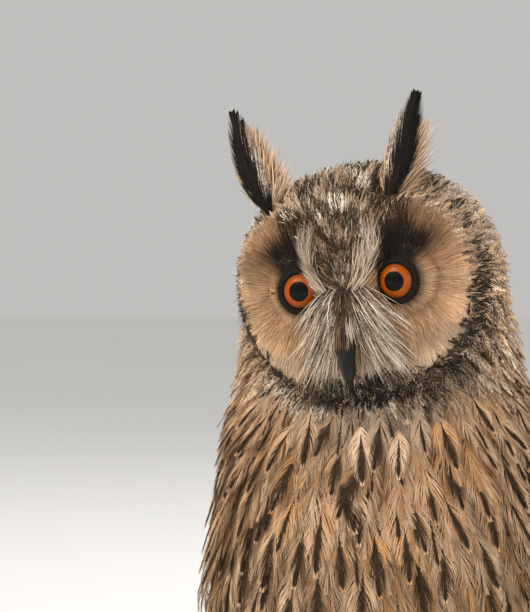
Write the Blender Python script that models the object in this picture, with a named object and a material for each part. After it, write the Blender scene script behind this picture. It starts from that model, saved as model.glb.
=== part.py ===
"""A long-eared owl standing on the floor, life size, as a still museum model.

The bird faces -Y with its left side towards +X, and its toes rest on the floor at z = 0.
Shapes are worked out in millimetres and become metres when a mesh is made.
"""

import math

import bmesh
import bpy
import numpy as np
from mathutils import Matrix

MM = 0.001
GAP = 0.35  # clearance between touching nodes

# Body axis, from the top of the neck (q = 0) to the tail tip, and how far it leans back
AXIS_START = (0.0, 4.0, 224.0)
UPRIGHT_LEAN = 18.0
TAIL_LEAN = 57.0
BEND_FROM, BEND_TO = 110.0, 200.0
AXIS_LOW, AXIS_HIGH = -30, 310

# Each station is (q, half width, offset of the centre to the front, half depth)
BODY_STATIONS = (
    (-22, 36, -10, 22), (0, 48, -7, 35), (22, 53, -1.5, 43.5), (45, 57, 5, 50), (70, 61, 9, 52),
    (100, 65, 11, 52), (125, 63, 9, 49), (150, 55, 5, 43), (172, 42, 0, 33), (188, 28, -3, 21),
    (198, 12, -5, 9),
)
# The surface that the folded wings lie on, which runs past the rump and over the tail
CLOAK_STATIONS = (
    (22, 53, 1, 46), (45, 57, 5, 50), (70, 61, 9, 52), (100, 65, 11, 52), (125, 63, 9, 49),
    (150, 55, 5, 43), (175, 44, 0, 33), (200, 36, -4, 21), (225, 30, -5, 14), (250, 26, -6, 10),
    (275, 22, -6, 8), (300, 18, -6, 7),
)
BODY_SIDES = 36
NECK_TO_TORSO = 36.0

# Head, in its own frame: x to the bird's left, -y out of the face, z up, the eyes at z = 0
HEAD_CENTRE = (0.0, -4.0, 241.0)
HEAD_YAW, HEAD_PITCH, HEAD_ROLL = 3.0, 3.0, 6.5
HEAD_HALF_WIDTH, CROWN_HEIGHT, CHIN_DROP = 51.0, 44.0, 42.0
DISC_HALF_WIDTH, DISC_TOP, DISC_BOTTOM = 45.0, 34.0, 38.5
GIRTH_BACK, HEAD_BACK = 2.0, 34.0
HEAD_COLUMNS, FACE_RINGS, BACK_RINGS = 36, 12, 7

EYE_X, EYE_FRONT, EYE_RADIUS = 18.2, -28.0, 10.5
EYE_SPLAY = 10.0
LID_RADIUS, LID_THICK = 8.3, 1.5

BEAK_WIDTH, BEAK_DEPTH = 4.5, 6.2
BEAK_TIP_SHARE = 0.3
BEAK_PATH = ((-22, -13), (-31, -14.5), (-36.5, -18.5), (-39, -24.5), (-38.8, -30), (-37.2, -35))
LOWER_BEAK_PATH = ((-20, -24), (-29, -26.5), (-33.5, -29), (-35.2, -32.4))
NOSTRIL_RADIUS = 1.1

# The two ear tufts are not held quite alike
TUFT_X_LEFT, TUFT_X_RIGHT, TUFT_Z = 19.5, 25.0, 30.0
TUFT_LENGTH = 39.0
TUFT_LEAN_LEFT, TUFT_LEAN_RIGHT = 15.0, 21.0

# Legs and feet, for the bird's left side
FOOT_X, FOOT_Y = 27.0, 27.0
ANKLE_Z = 15.0
TOE_RADIUS = 4.3
# Each toe is (name, angle from straight ahead and outwards, length)
TOES = (("inner", -20, 25), ("middle", 14, 30), ("outer", 96, 24), ("hind", 192, 17))
CLAW_LENGTH, CLAW_RADIUS = 12.5, 1.9

VANE_THICK = 0.65
SHINGLE_STEP = 1.5  # how far one vane lies above its neighbour

PLUMAGE_BUFF = (0.42, 0.25, 0.13, 1)
PLUMAGE_GREY = (0.22, 0.16, 0.11, 1)
TUFT_BLACK = (0.03, 0.02, 0.014, 1)
IRIS_ORANGE = (0.60, 0.13, 0.01, 1)
HORN_BLACK = (0.025, 0.022, 0.022, 1)


def clear_scene():
    for obj in list(bpy.data.objects):
        bpy.data.objects.remove(obj, do_unlink=True)


# Curves and frames


def curve_through(stations, q):
    """The values beside q on a smooth curve through the stations."""
    table = np.array(stations, float)
    at = table[:, 0]
    q = min(max(q, at[0]), at[-1])
    i = int(min(max(np.searchsorted(at, q) - 1, 0), len(at) - 2))
    span = at[i + 1] - at[i]
    t = (q - at[i]) / span
    before, after = max(i - 1, 0), min(i + 2, len(at) - 1)
    slope_a = (table[i + 1, 1:] - table[before, 1:]) / (at[i + 1] - at[before]) * span
    slope_b = (table[after, 1:] - table[i, 1:]) / (at[after] - at[i]) * span
    a, b = table[i, 1:], table[i + 1, 1:]
    return (
        a * (2 * t**3 - 3 * t**2 + 1) + slope_a * (t**3 - 2 * t**2 + t)
        + b * (3 * t**2 - 2 * t**3) + slope_b * (t**3 - t**2)
    )


def lean_at(q):
    t = min(max((q - BEND_FROM) / (BEND_TO - BEND_FROM), 0.0), 1.0)
    return math.radians(UPRIGHT_LEAN + (TAIL_LEAN - UPRIGHT_LEAN) * t * t * (3 - 2 * t))


def axis_table():
    """Points on the body axis, one for each millimetre of q."""
    points = {0: np.array(AXIS_START)}
    for q in range(0, AXIS_HIGH):
        lean = lean_at(q + 0.5)
        points[q + 1] = points[q] + np.array([0, math.sin(lean), -math.cos(lean)])
    for q in range(0, AXIS_LOW, -1):
        lean = lean_at(q - 0.5)
        points[q - 1] = points[q] - np.array([0, math.sin(lean), -math.cos(lean)])
    return points


AXIS = axis_table()


def axis_point(q):
    low = math.floor(q)
    return AXIS[low] + (AXIS[min(low + 1, AXIS_HIGH)] - AXIS[low]) * (q - low)


def front_of(q):
    """The direction from the axis to the breast."""
    lean = lean_at(q)
    return np.array([0, -math.cos(lean), -math.sin(lean)])


def surface_point(stations, q, phi, lift=0.0):
    """A point on a body surface; phi is 0 at the breast, 90 at the bird's left and 180 at the back."""
    half_width, offset, half_depth = curve_through(stations, q)
    angle = math.radians(phi)
    front = front_of(q)
    across = np.array([1.0, 0, 0])
    point = axis_point(q) + front * (offset + half_depth * math.cos(angle))
    point = point + across * half_width * math.sin(angle)
    outward = across * half_depth * math.sin(angle) + front * half_width * math.cos(angle)
    return point + outward / np.linalg.norm(outward) * lift


def body_ring(q):
    return [surface_point(BODY_STATIONS, q, -360 * k / BODY_SIDES) for k in range(BODY_SIDES)]


def head_matrix():
    return (
        Matrix.Rotation(-math.radians(HEAD_YAW), 3, "Z")
        @ Matrix.Rotation(math.radians(HEAD_PITCH), 3, "X")
        @ Matrix.Rotation(-math.radians(HEAD_ROLL), 3, "Y")
    )


HEAD_TURN = np.array(head_matrix())


def from_head(points):
    """Points of the head's own frame, moved into the model's."""
    return np.asarray(points, float) @ HEAD_TURN.T + np.array(HEAD_CENTRE)


# Mesh making, with a shape held as (points, triangles)


def quad(a, b, c, d):
    return [(a, b, c), (a, c, d)]


def loft(rings, first_tip=None, last_tip=None):
    """A closed skin over rings of points, ended by a flat cap or by a tip."""
    count = len(rings[0])
    points = [p for ring in rings for p in ring]
    triangles = []
    for i in range(len(rings) - 1):
        for k in range(count):
            n = (k + 1) % count
            a, b = i * count + k, i * count + n
            triangles += quad(a, b, b + count, a + count)
    for ring, tip, start in ((rings[0], first_tip, 0), (rings[-1], last_tip, (len(rings) - 1) * count)):
        points.append(np.mean(ring, axis=0) if tip is None else np.array(tip, float))
        centre = len(points) - 1
        for k in range(count):
            n = (k + 1) % count
            a, b = start + k, start + n
            triangles.append((centre, b, a) if start == 0 else (centre, a, b))
    return facing_out(np.array(points, float), np.array(triangles))


def facing_out(points, triangles):
    a, b, c = points[triangles[:, 0]], points[triangles[:, 1]], points[triangles[:, 2]]
    volume = np.einsum("ij,ij->i", a, np.cross(b, c)).sum()
    return (points, triangles[:, ::-1]) if volume < 0 else (points, triangles)


def grown(shape, distance):
    """The shape with every point moved out along its normal."""
    points, triangles = shape
    a, b, c = points[triangles[:, 0]], points[triangles[:, 1]], points[triangles[:, 2]]
    face_normals = np.cross(b - a, c - a)
    normals = np.zeros_like(points)
    for corner in range(3):
        np.add.at(normals, triangles[:, corner], face_normals)
    normals /= np.linalg.norm(normals, axis=1)[:, None]
    return points + normals * distance, triangles


def tube(path, radii, sides, last_tip=None, flat_at=None):
    """A round limb along a path; flat_at is a level that nothing of it goes below."""
    path = [np.array(p, float) for p in path]
    rings = []
    for i, (centre, radius) in enumerate(zip(path, radii)):
        along = path[min(i + 1, len(path) - 1)] - path[max(i - 1, 0)]
        along = along / np.linalg.norm(along)
        side = np.cross(along, [0, 0, 1.0])
        if np.linalg.norm(side) < 0.2:
            side = np.cross(along, [0, 1.0, 0])
        side = side / np.linalg.norm(side)
        over = np.cross(side, along)
        wide, tall = radius if isinstance(radius, tuple) else (radius, radius)
        ring = []
        for k in range(sides):
            angle = 2 * math.pi * (k + 0.5) / sides
            ring.append(centre + side * wide * math.cos(angle) + over * tall * math.sin(angle))
        rings.append(ring)
    points, triangles = loft(rings, last_tip=last_tip)
    if flat_at is not None:
        points[:, 2] = np.maximum(points[:, 2], flat_at)
    return points, triangles


def blade(rows, thick=VANE_THICK):
    """A feather vane over rows of (left edge, right edge, outward), split alike on both faces."""
    points, triangles = [], []
    for left, right, outward in rows:
        half = np.array(outward) * thick / 2
        points += [left + half, right + half, right - half, left - half]
    for i in range(len(rows) - 1):
        a = 4 * i
        for k, flip in ((0, False), (1, False), (2, True), (3, False)):
            n = (k + 1) % 4
            p, q, r, s = a + k, a + n, a + 4 + n, a + 4 + k
            triangles += [(p, q, s), (q, r, s)] if flip else [(p, q, r), (p, r, s)]
    last = 4 * (len(rows) - 1)
    triangles += [(0, 3, 2), (0, 2, 1), (last, last + 1, last + 2), (last, last + 2, last + 3)]
    return facing_out(np.array(points), np.array(triangles))


def mesh_object(name, shape, colour=PLUMAGE_BUFF, roughness=0.8):
    points, triangles = shape
    mesh = bpy.data.meshes.new(name)
    mesh.from_pydata([tuple(p) for p in points * MM], [], [tuple(int(i) for i in t) for t in triangles])
    mesh.update()
    obj = bpy.data.objects.new(name, mesh)
    bpy.context.scene.collection.objects.link(obj)
    material = bpy.data.materials.new(name)
    material.use_nodes = True
    shader = material.node_tree.nodes["Principled BSDF"]
    shader.inputs["Base Color"].default_value = colour
    shader.inputs["Roughness"].default_value = roughness
    mesh.materials.append(material)
    return obj


def boolean(obj, shapes, operation):
    """One Boolean of obj with a collection of closed shapes, applied, and the shapes removed."""
    operands = bpy.data.collections.new("operands")
    bpy.context.scene.collection.children.link(operands)
    for shape in shapes:
        piece = mesh_object("operand", shape)
        bpy.context.scene.collection.objects.unlink(piece)
        operands.objects.link(piece)
    modifier = obj.modifiers.new("join", "BOOLEAN")
    modifier.operand_type = "COLLECTION"
    modifier.collection = operands
    modifier.operation = operation
    modifier.solver = "MANIFOLD"
    bpy.context.view_layer.objects.active = obj
    bpy.ops.object.modifier_apply(modifier=modifier.name)
    for piece in list(operands.objects):
        bpy.data.objects.remove(piece, do_unlink=True)
    bpy.data.collections.remove(operands)


def keep_largest(obj):
    """Deletes every closed surface but the largest."""
    bm = bmesh.new()
    bm.from_mesh(obj.data)
    bm.verts.ensure_lookup_table()
    seen, islands = set(), []
    for vert in bm.verts:
        if vert in seen:
            continue
        island, stack = [], [vert]
        seen.add(vert)
        while stack:
            here = stack.pop()
            island.append(here)
            for edge in here.link_edges:
                other = edge.other_vert(here)
                if other not in seen:
                    seen.add(other)
                    stack.append(other)
        islands.append(island)
    largest = max(islands, key=len)
    loose = [v for island in islands if island is not largest for v in island]
    bmesh.ops.delete(bm, geom=loose, context="VERTS")
    bm.to_mesh(obj.data)
    bm.free()


def solid(name, pieces, cutters=(), colour=PLUMAGE_BUFF, roughness=0.8):
    """A node: its pieces united, its neighbours' grown shapes cut away, one closed body kept."""
    obj = mesh_object(name, pieces[0], colour, roughness)
    if len(pieces) > 1:
        boolean(obj, pieces[1:], "UNION")
    for cutter in cutters:
        boolean(obj, [cutter], "DIFFERENCE")
    keep_largest(obj)
    return obj


# Head


def face_depth(x, z):
    """How far forward the face lies at (x, z): a ridge down the middle and a shallow dish round each eye."""
    out = abs(x)
    depth = -31.0 + 15.5 * (out / DISC_HALF_WIDTH) ** 1.6
    depth += 10.0 * (max(z, 0.0) / 36.0) ** 2.2 + 5.0 * (max(-z - 12.0, 0.0) / 27.0) ** 2
    depth += 3.4 * math.exp(-(((out - 27) / 11) ** 2 + ((z + 2) / 15) ** 2))
    ridge_end = math.exp(-((max(abs(z + 2) - 20, 0.0) / 8) ** 2))
    depth -= 3.6 * math.exp(-((out / 6.5) ** 2)) * ridge_end
    brow_x = 5.0 + 0.55 * max(z, 0.0)
    on_brow = math.exp(-(((out - brow_x) / 4.5) ** 2)) * math.exp(-(((z - 16) / 13) ** 2))
    return depth - 3.2 * on_brow


def disc_radius(phi):
    """Radius of the facial disc's rim at an angle from straight up."""
    s, c = abs(math.sin(phi)), math.cos(phi)
    tall = DISC_TOP if c > 0 else DISC_BOTTOM
    power = 2.3
    return ((s / DISC_HALF_WIDTH) ** power + (abs(c) / tall) ** power) ** (-1 / power)


def girth_radius(phi):
    s, c = abs(math.sin(phi)), math.cos(phi)
    tall = CROWN_HEIGHT if c > 0 else CHIN_DROP
    power = 2.1
    return ((s / HEAD_HALF_WIDTH) ** power + (abs(c) / tall) ** power) ** (-1 / power)


def rim_depth(x, z, phi, share):
    """The face with its rim raised forward, except on the forehead between the tufts."""
    raised = 3.0 * math.exp(-(((share - 0.96) / 0.09) ** 2))
    between_tufts = math.exp(-((math.degrees(abs(math.atan2(math.sin(phi), math.cos(phi)))) / 38) ** 4))
    return face_depth(x, z) - raised * (1 - between_tufts)


def head_shape():
    rings = []
    angles = [2 * math.pi * k / HEAD_COLUMNS for k in range(HEAD_COLUMNS)]
    for i in range(1, FACE_RINGS + 1):
        share = (i / FACE_RINGS) ** 0.85
        ring = []
        for phi in angles:
            reach = disc_radius(phi) * share
            x, z = reach * math.sin(phi), reach * math.cos(phi)
            ring.append((x, rim_depth(x, z, phi, share), z))
        rings.append(ring)
    for i in range(1, BACK_RINGS + 1):
        ring = []
        for phi in angles:
            rim, girth = disc_radius(phi), girth_radius(phi)
            start = -math.acos(min(rim / girth, 1.0))
            turn = start + (math.radians(83) - start) * i / BACK_RINGS
            rim_y = rim_depth(rim * math.sin(phi), rim * math.cos(phi), phi, 1.0)
            depth = HEAD_BACK if turn > 0 else (rim_y - GIRTH_BACK) / math.sin(start)
            reach = girth * math.cos(turn)
            ring.append((reach * math.sin(phi), GIRTH_BACK + depth * math.sin(turn), reach * math.cos(phi)))
        rings.append(ring)
    points, triangles = loft(rings, first_tip=(0, face_depth(0, 0), 0), last_tip=(0, GIRTH_BACK + HEAD_BACK, 0))
    return from_head(points), triangles


def eye_centre(side):
    return np.array([side * EYE_X, EYE_FRONT + EYE_RADIUS, 0])


def gaze(side):
    splay = math.radians(EYE_SPLAY)
    return np.array([side * math.sin(splay), -math.cos(splay), 0])


def ball(centre, radius, columns, rows):
    rings = []
    for i in range(1, rows):
        angle = math.pi * i / rows
        turn = [2 * math.pi * k / columns for k in range(columns)]
        rings.append([
            (radius * math.sin(angle) * math.cos(t), -radius * math.cos(angle), radius * math.sin(angle) * math.sin(t))
            for t in turn
        ])
    points, triangles = loft(rings, first_tip=(0, -radius, 0), last_tip=(0, radius, 0))
    return points + np.array(centre), triangles


def eye_shape(side):
    points, triangles = ball((0, 0, 0), EYE_RADIUS, 18, 10)
    splay = math.radians(EYE_SPLAY) * side
    turn = np.array(Matrix.Rotation(splay, 3, "Z"))
    return from_head(points @ turn.T + eye_centre(side)), triangles


def lid_shape(side):
    """A ring of bare skin round the eye."""
    axis = gaze(side)
    across = np.cross(axis, [0, 0, 1.0])
    across /= np.linalg.norm(across)
    over = np.cross(across, axis)
    middle = eye_centre(side) + axis * math.sqrt(EYE_RADIUS**2 - LID_RADIUS**2)
    columns, around = 20, 5
    points, triangles = [], []
    for k in range(columns):
        turn = 2 * math.pi * k / columns
        outward = across * math.cos(turn) + over * math.sin(turn)
        for j in range(around):
            angle = 2 * math.pi * (j + 0.5) / around
            points.append(
                middle + outward * (LID_RADIUS + LID_THICK * math.cos(angle)) + axis * LID_THICK * math.sin(angle)
            )
    for k in range(columns):
        for j in range(around):
            a, b = k * around + j, k * around + (j + 1) % around
            c, d = ((k + 1) % columns) * around + (j + 1) % around, ((k + 1) % columns) * around + j
            triangles += quad(a, b, c, d)
    points, triangles = facing_out(np.array(points), np.array(triangles))
    return from_head(points), triangles


def beak_shape(path, width, depth):
    """Half of the beak, narrowing along a path in the head's middle plane."""
    rings = []
    centres = [np.array([0, y, z], float) for y, z in path]
    for i, centre in enumerate(centres[:-1]):
        t = i / (len(centres) - 1)
        along = centres[i + 1] - centres[max(i - 1, 0)]
        along /= np.linalg.norm(along)
        over = np.cross(along, [1.0, 0, 0])
        taper = (1 - t**1.7) * (1 - BEAK_TIP_SHARE) + BEAK_TIP_SHARE
        ring = []
        for k in range(12):
            angle = 2 * math.pi * k / 12
            ring.append(
                centre + np.array([1.0, 0, 0]) * width * taper * math.cos(angle) + over * depth * taper * math.sin(angle)
            )
        rings.append(ring)
    points, triangles = loft(rings, last_tip=centres[-1])
    return from_head(points), triangles


# Each vane of a tuft is (share of the full length, extra outward lean, half width), front to back
TUFT_VANES = (
    (1.0, 0, 4.6), (0.93, 5, 4.4), (0.86, -5, 4.2), (0.74, 13, 4.0), (0.64, -14, 3.8),
    (0.62, 24, 3.4), (0.5, -26, 3.2), (0.56, 38, 3.0),
)
TUFT_VANE_STEP = 1.3  # how far each vane stands behind the last
TUFT_BOW = 10.0
TUFT_CORE = (6.0, 7.5, 8.0)


def tuft_shapes(side):
    """The vanes of one ear tuft: long ones standing up, short ones fanning out round their foot."""
    lean = math.radians(TUFT_LEAN_LEFT if side > 0 else TUFT_LEAN_RIGHT)
    x = TUFT_X_LEFT if side > 0 else TUFT_X_RIGHT
    root = np.array([side * x, face_depth(x, TUFT_Z) + 2.0, TUFT_Z])
    pieces = []
    for i, (share, extra, half_width) in enumerate(TUFT_VANES):
        tilt = lean + math.radians(extra)
        length = TUFT_LENGTH * share
        back = TUFT_VANE_STEP * i
        foot = root + np.array([side * 0.11 * extra, back, 0.5 + back * 0.35])
        rows = []
        for t in (0.0, 0.22, 0.45, 0.68, 0.86, 1.0):
            bow = tilt + math.radians(TUFT_BOW) * (0.5 - t)
            centre = foot + np.array([side * math.sin(bow), 0.04 + 0.12 * t, math.cos(bow)]) * length * t
            across = np.array([math.cos(bow), 0, -side * math.sin(bow)])
            wide = half_width * (0.6 + 1.0 * t - 1.43 * t**2.6)
            rows.append((centre - across * wide, centre + across * wide, np.array([0, -1.0, 0])))
        points, triangles = blade(rows)
        pieces.append((from_head(points), triangles))
    core, faces = ball((0, 0, 0), 1.0, 12, 8)
    core = core * np.array(TUFT_CORE) + root + np.array([0, 5.0, 2.5])
    return [(from_head(core), faces)] + pieces


# Wings and tail


def cloak_path(start, end, t):
    """(q, phi) on the way from a vane's root to its tip."""
    return start[0] + (end[0] - start[0]) * t, start[1] + (end[1] - start[1]) * (1 - (1 - t) ** 1.3)


def cloak_vane(start, end, neighbour, half_width, lifts, side, rows=4, round_tip=0.4):
    """A vane lying on the cloak from start to end, each (q, phi), tilted so that it clears its neighbour."""
    blades = []
    mirror = np.array([side, 1, 1])
    for i in range(rows):
        t = (i / (rows - 1)) ** 0.7
        q, phi = cloak_path(start, end, t)
        here = surface_point(CLOAK_STATIONS, q, phi)
        reach = np.linalg.norm(surface_point(CLOAK_STATIONS, q, phi + 1) - here)
        beside = cloak_path(*neighbour, t)
        pitch = np.linalg.norm(surface_point(CLOAK_STATIONS, *beside) - here)
        slope = min(SHINGLE_STEP / pitch, 0.3) * (1 if beside[1] > phi else -1)
        wide = half_width * min(0.5 + 1.6 * t, 1.0) * (1 - (1 - round_tip) * t**5)
        rise = min(t / 0.4, 1.0)
        lift = lifts[0] + (lifts[1] - lifts[0]) * rise * rise * (3 - 2 * rise)
        low = surface_point(CLOAK_STATIONS, q, phi - wide / reach, lift + slope * wide)
        high = surface_point(CLOAK_STATIONS, q, phi + wide / reach, lift - slope * wide)
        outward = surface_point(CLOAK_STATIONS, q, phi, 1) - here
        blades.append((low * mirror, high * mirror, outward * mirror))
    return blade(blades)


# Each tier is (vanes, root q, root phi range, tip q range, tip phi range, half width, lifts)
WING_TIERS = (
    (5, (152, 140), (98, 134), (284, 224), (151, 118), 7.2, (0.8, 1.6)),
    (7, (132, 126), (94, 148), (204, 226), (104, 160), 8.2, (1.3, 3.3)),
    (6, (98, 92), (90, 150), (152, 160), (90, 160), 9.4, (1.6, 5.0)),
    (5, (66, 60), (94, 146), (110, 118), (91, 156), 10.8, (1.8, 6.4)),
    (4, (48, 42), (106, 136), (80, 88), (98, 150), 11.2, (1.8, 7.9)),
)


def tier_ends(tier, i):
    """The root and tip, each (q, phi), of vane i of a tier."""
    count, root_q, root_phi, tip_q, tip_phi = tier[:5]
    t = i / (count - 1)
    start = (root_q[0] + (root_q[1] - root_q[0]) * t, root_phi[0] + (root_phi[1] - root_phi[0]) * t)
    return start, (tip_q[0] + (tip_q[1] - tip_q[0]) * t, tip_phi[0] + (tip_phi[1] - tip_phi[0]) * t)


def wing_vanes(side):
    pieces = []
    for tier in WING_TIERS:
        half_width, lifts = tier[5:]
        # Inner feathers lie over outer ones, so each vane clears the next one towards the back
        towards_back = 1 if tier[4][1] > tier[4][0] else -1
        for i in range(tier[0]):
            beside = tier_ends(tier, i + towards_back)
            pieces.append(cloak_vane(*tier_ends(tier, i), beside, half_width, lifts, side))
    return pieces


# The wing's flesh is (q, first phi, last phi, thickness)
WING_CORE = (
    (42, 104, 128, 3.0), (52, 92, 142, 5.0), (68, 84, 151, 5.8), (90, 81, 157, 5.6),
    (115, 83, 160, 5.0), (140, 89, 160, 4.0), (160, 98, 158, 3.0), (172, 106, 152, 2.4),
)
CORE_COLUMNS = 6


def wing_core(side):
    """The fleshy part of the folded wing, a pad that lies on the side of the torso."""
    rings = []
    for q, first, last, thick in WING_CORE:
        outer, inner = [], []
        for k in range(CORE_COLUMNS):
            t = k / (CORE_COLUMNS - 1)
            phi = first + (last - first) * t
            bulge = 0.35 + 0.65 * math.sin(math.pi * min(max(t, 0.04), 0.96)) ** 0.6
            outer.append(surface_point(CLOAK_STATIONS, q, phi, thick * bulge))
            inner.append(surface_point(CLOAK_STATIONS, q, phi, -1.2))
        rings.append([p * np.array([side, 1, 1]) for p in outer + inner[::-1]])
    return loft(rings)


TAIL_PAIRS = 6
TAIL_FROM, TAIL_TO = 190.0, 282.0
TAIL_BACK = 7.0  # how far behind the axis the tail's plane lies
TAIL_HALF_WIDTH = 9.5
TAIL_SPREAD, TAIL_STEP, TAIL_ROUNDING = 3.1, 0.62, 1.1
MIDDLE_PAIR_STEP = 1.05
TAIL_TILT = 0.12
# Short feathers over and under the tail's root are (x, how much further out their layer lies)
TAIL_COVERTS = ((-14, 0.0), (-7, 0.0), (7, 0.0), (14, 0.0), (0, 1.1))
COVERTS_FROM, UPPER_COVERTS_TO, UNDER_COVERTS_TO = 186.0, 232.0, 236.0
# The tail's flesh is (q, half width, half thickness)
TAIL_CORE = ((178, 22, 13), (190, 24, 12), (202, 22, 9.5), (214, 18, 6.5), (222, 13, 4))


def tail_vane(x_root, x_tip, q_range, sink, tilt, half_width):
    """A straight vane of the tail, sunk below the tail's upper plane and tilted about its shaft."""
    rows = []
    for t in (0.0, 0.25, 0.5, 0.75, 0.92, 1.0):
        q = q_range[0] + (q_range[1] - q_range[0]) * t
        behind = -front_of(q)
        centre = axis_point(q) + behind * (TAIL_BACK - sink)
        centre = centre + np.array([x_root + (x_tip - x_root) * t, 0, 0])
        wide = half_width * min(0.55 + 1.1 * t, 1.0) * (1 - 2.8 * max(t - 0.75, 0) * t**3)
        edge = np.array([wide, 0, 0])
        rows.append((centre - edge - behind * tilt * wide, centre + edge + behind * tilt * wide, behind))
    return blade(rows)


def tail_shapes():
    """The tail's flesh, its fan of flight feathers from the middle pair outwards, and its coverts."""
    rings = []
    for q, wide, tall in TAIL_CORE:
        behind = -front_of(q)
        centre = axis_point(q) + behind * (TAIL_BACK - 2.2)
        ring = []
        for k in range(16):
            angle = 2 * math.pi * k / 16
            ring.append(centre + np.array([wide * math.cos(angle), 0, 0]) + behind * tall * math.sin(angle))
        rings.append(ring)
    pieces = [loft(rings)]
    for i in range(TAIL_PAIRS):
        for side in (-1, 1):
            x_root, x_tip = side * (1.2 + 2.1 * i), side * (2.6 + TAIL_SPREAD * i)
            # The middle pair lies flat, the left one of them over the right
            sink = TAIL_STEP * i if i or side > 0 else -MIDDLE_PAIR_STEP
            tilt = side * TAIL_TILT if i else 0.0
            q_range = (TAIL_FROM, TAIL_TO - TAIL_ROUNDING * i)
            pieces.append(tail_vane(x_root, x_tip, q_range, sink, tilt, TAIL_HALF_WIDTH))
    for x, layer in TAIL_COVERTS:
        half_width = 7.5 if x == 0 else 3.3
        upper = (COVERTS_FROM, UPPER_COVERTS_TO - abs(x) * 0.4)
        under = (COVERTS_FROM, UNDER_COVERTS_TO - abs(x) * 0.5)
        pieces.append(tail_vane(x * 0.5, x, upper, -3.4 - layer, 0.0, half_width))
        pieces.append(tail_vane(x * 0.6, x, under, 8.0 + layer, 0.0, half_width))
    return pieces


# Legs and feet


def leg_shape(side):
    path = ((21, 46, 80), (24, 38, 61), (26.5, 32, 45), (27.5, 31, 33), (27, 29, 23), (FOOT_X, FOOT_Y, ANKLE_Z + GAP))
    radii = ((15, 19), (16.5, 19.5), (15, 16.5), (11.5, 12.5), (9.0, 9.4), (8.0, 8.4))
    rings = []
    for (x, y, z), (wide, deep) in zip(path, radii):
        turn = [2 * math.pi * k / 14 for k in range(14)]
        rings.append([(side * (x + wide * math.cos(t)), y + deep * math.sin(t), z) for t in turn])
    return loft(rings)


def toe_direction(angle, side):
    turn = math.radians(angle)
    return np.array([side * math.sin(turn), -math.cos(turn), 0])


def foot_shapes(side):
    rings = []
    for z, radius in ((ANKLE_Z, 8.0), (9, 8.0), (4, 7.4), (0, 6.0)):
        turn = [2 * math.pi * k / 12 for k in range(12)]
        rings.append([(side * FOOT_X + radius * math.cos(t), FOOT_Y + radius * math.sin(t), z) for t in turn])
    pieces = [loft(rings)]
    for _, angle, length in TOES:
        along = toe_direction(angle, side)
        heel = np.array([side * FOOT_X, FOOT_Y, 0])
        shares = (0.0, 0.34, 0.52, 0.7, 0.88, 1.0)
        heights = (6.0, 5.4, 4.6, 4.3, 3.8, 3.6)
        radii = [TOE_RADIUS * r for r in (1.25, 1.08, 0.95, 1.02, 0.92, 0.72)]
        path = [heel + along * length * s + np.array([0, 0, h]) for s, h in zip(shares, heights)]
        pieces.append(tube(path, radii, 8, flat_at=0.0))
    return pieces


def claw_shape(angle, length, side):
    """A talon that leaves the toe's end and bends down to just above the floor."""
    along = toe_direction(angle, side)
    start = np.array([side * FOOT_X, FOOT_Y, 0]) + along * (length - 1.0) + np.array([0, 0, 4.0])
    path, radii = [], []
    for i in range(6):
        t = i / 6
        sweep = math.radians(20 - 95 * t)
        if path:
            start = start + (along * math.cos(sweep) + np.array([0, 0, math.sin(sweep)])) * CLAW_LENGTH / 6
        path.append(start)
        radii.append(CLAW_RADIUS * (1 - 0.8 * t))
    tip = path[-1] + along * 0.6 + np.array([0, 0, -1.2])
    tip[2] = max(tip[2], 0.3)
    return tube(path, radii, 7, last_tip=tip, flat_at=0.3)


def centre_on_origin():
    """Moves the whole bird so that the middle of its box's underside is the origin."""
    points = [vert.co for obj in bpy.data.objects for vert in obj.data.vertices]
    low, high = np.min(points, axis=0), np.max(points, axis=0)
    shift = Matrix.Translation((-(low[0] + high[0]) / 2, -(low[1] + high[1]) / 2, -low[2]))
    for obj in bpy.data.objects:
        obj.data.transform(shift)


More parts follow.
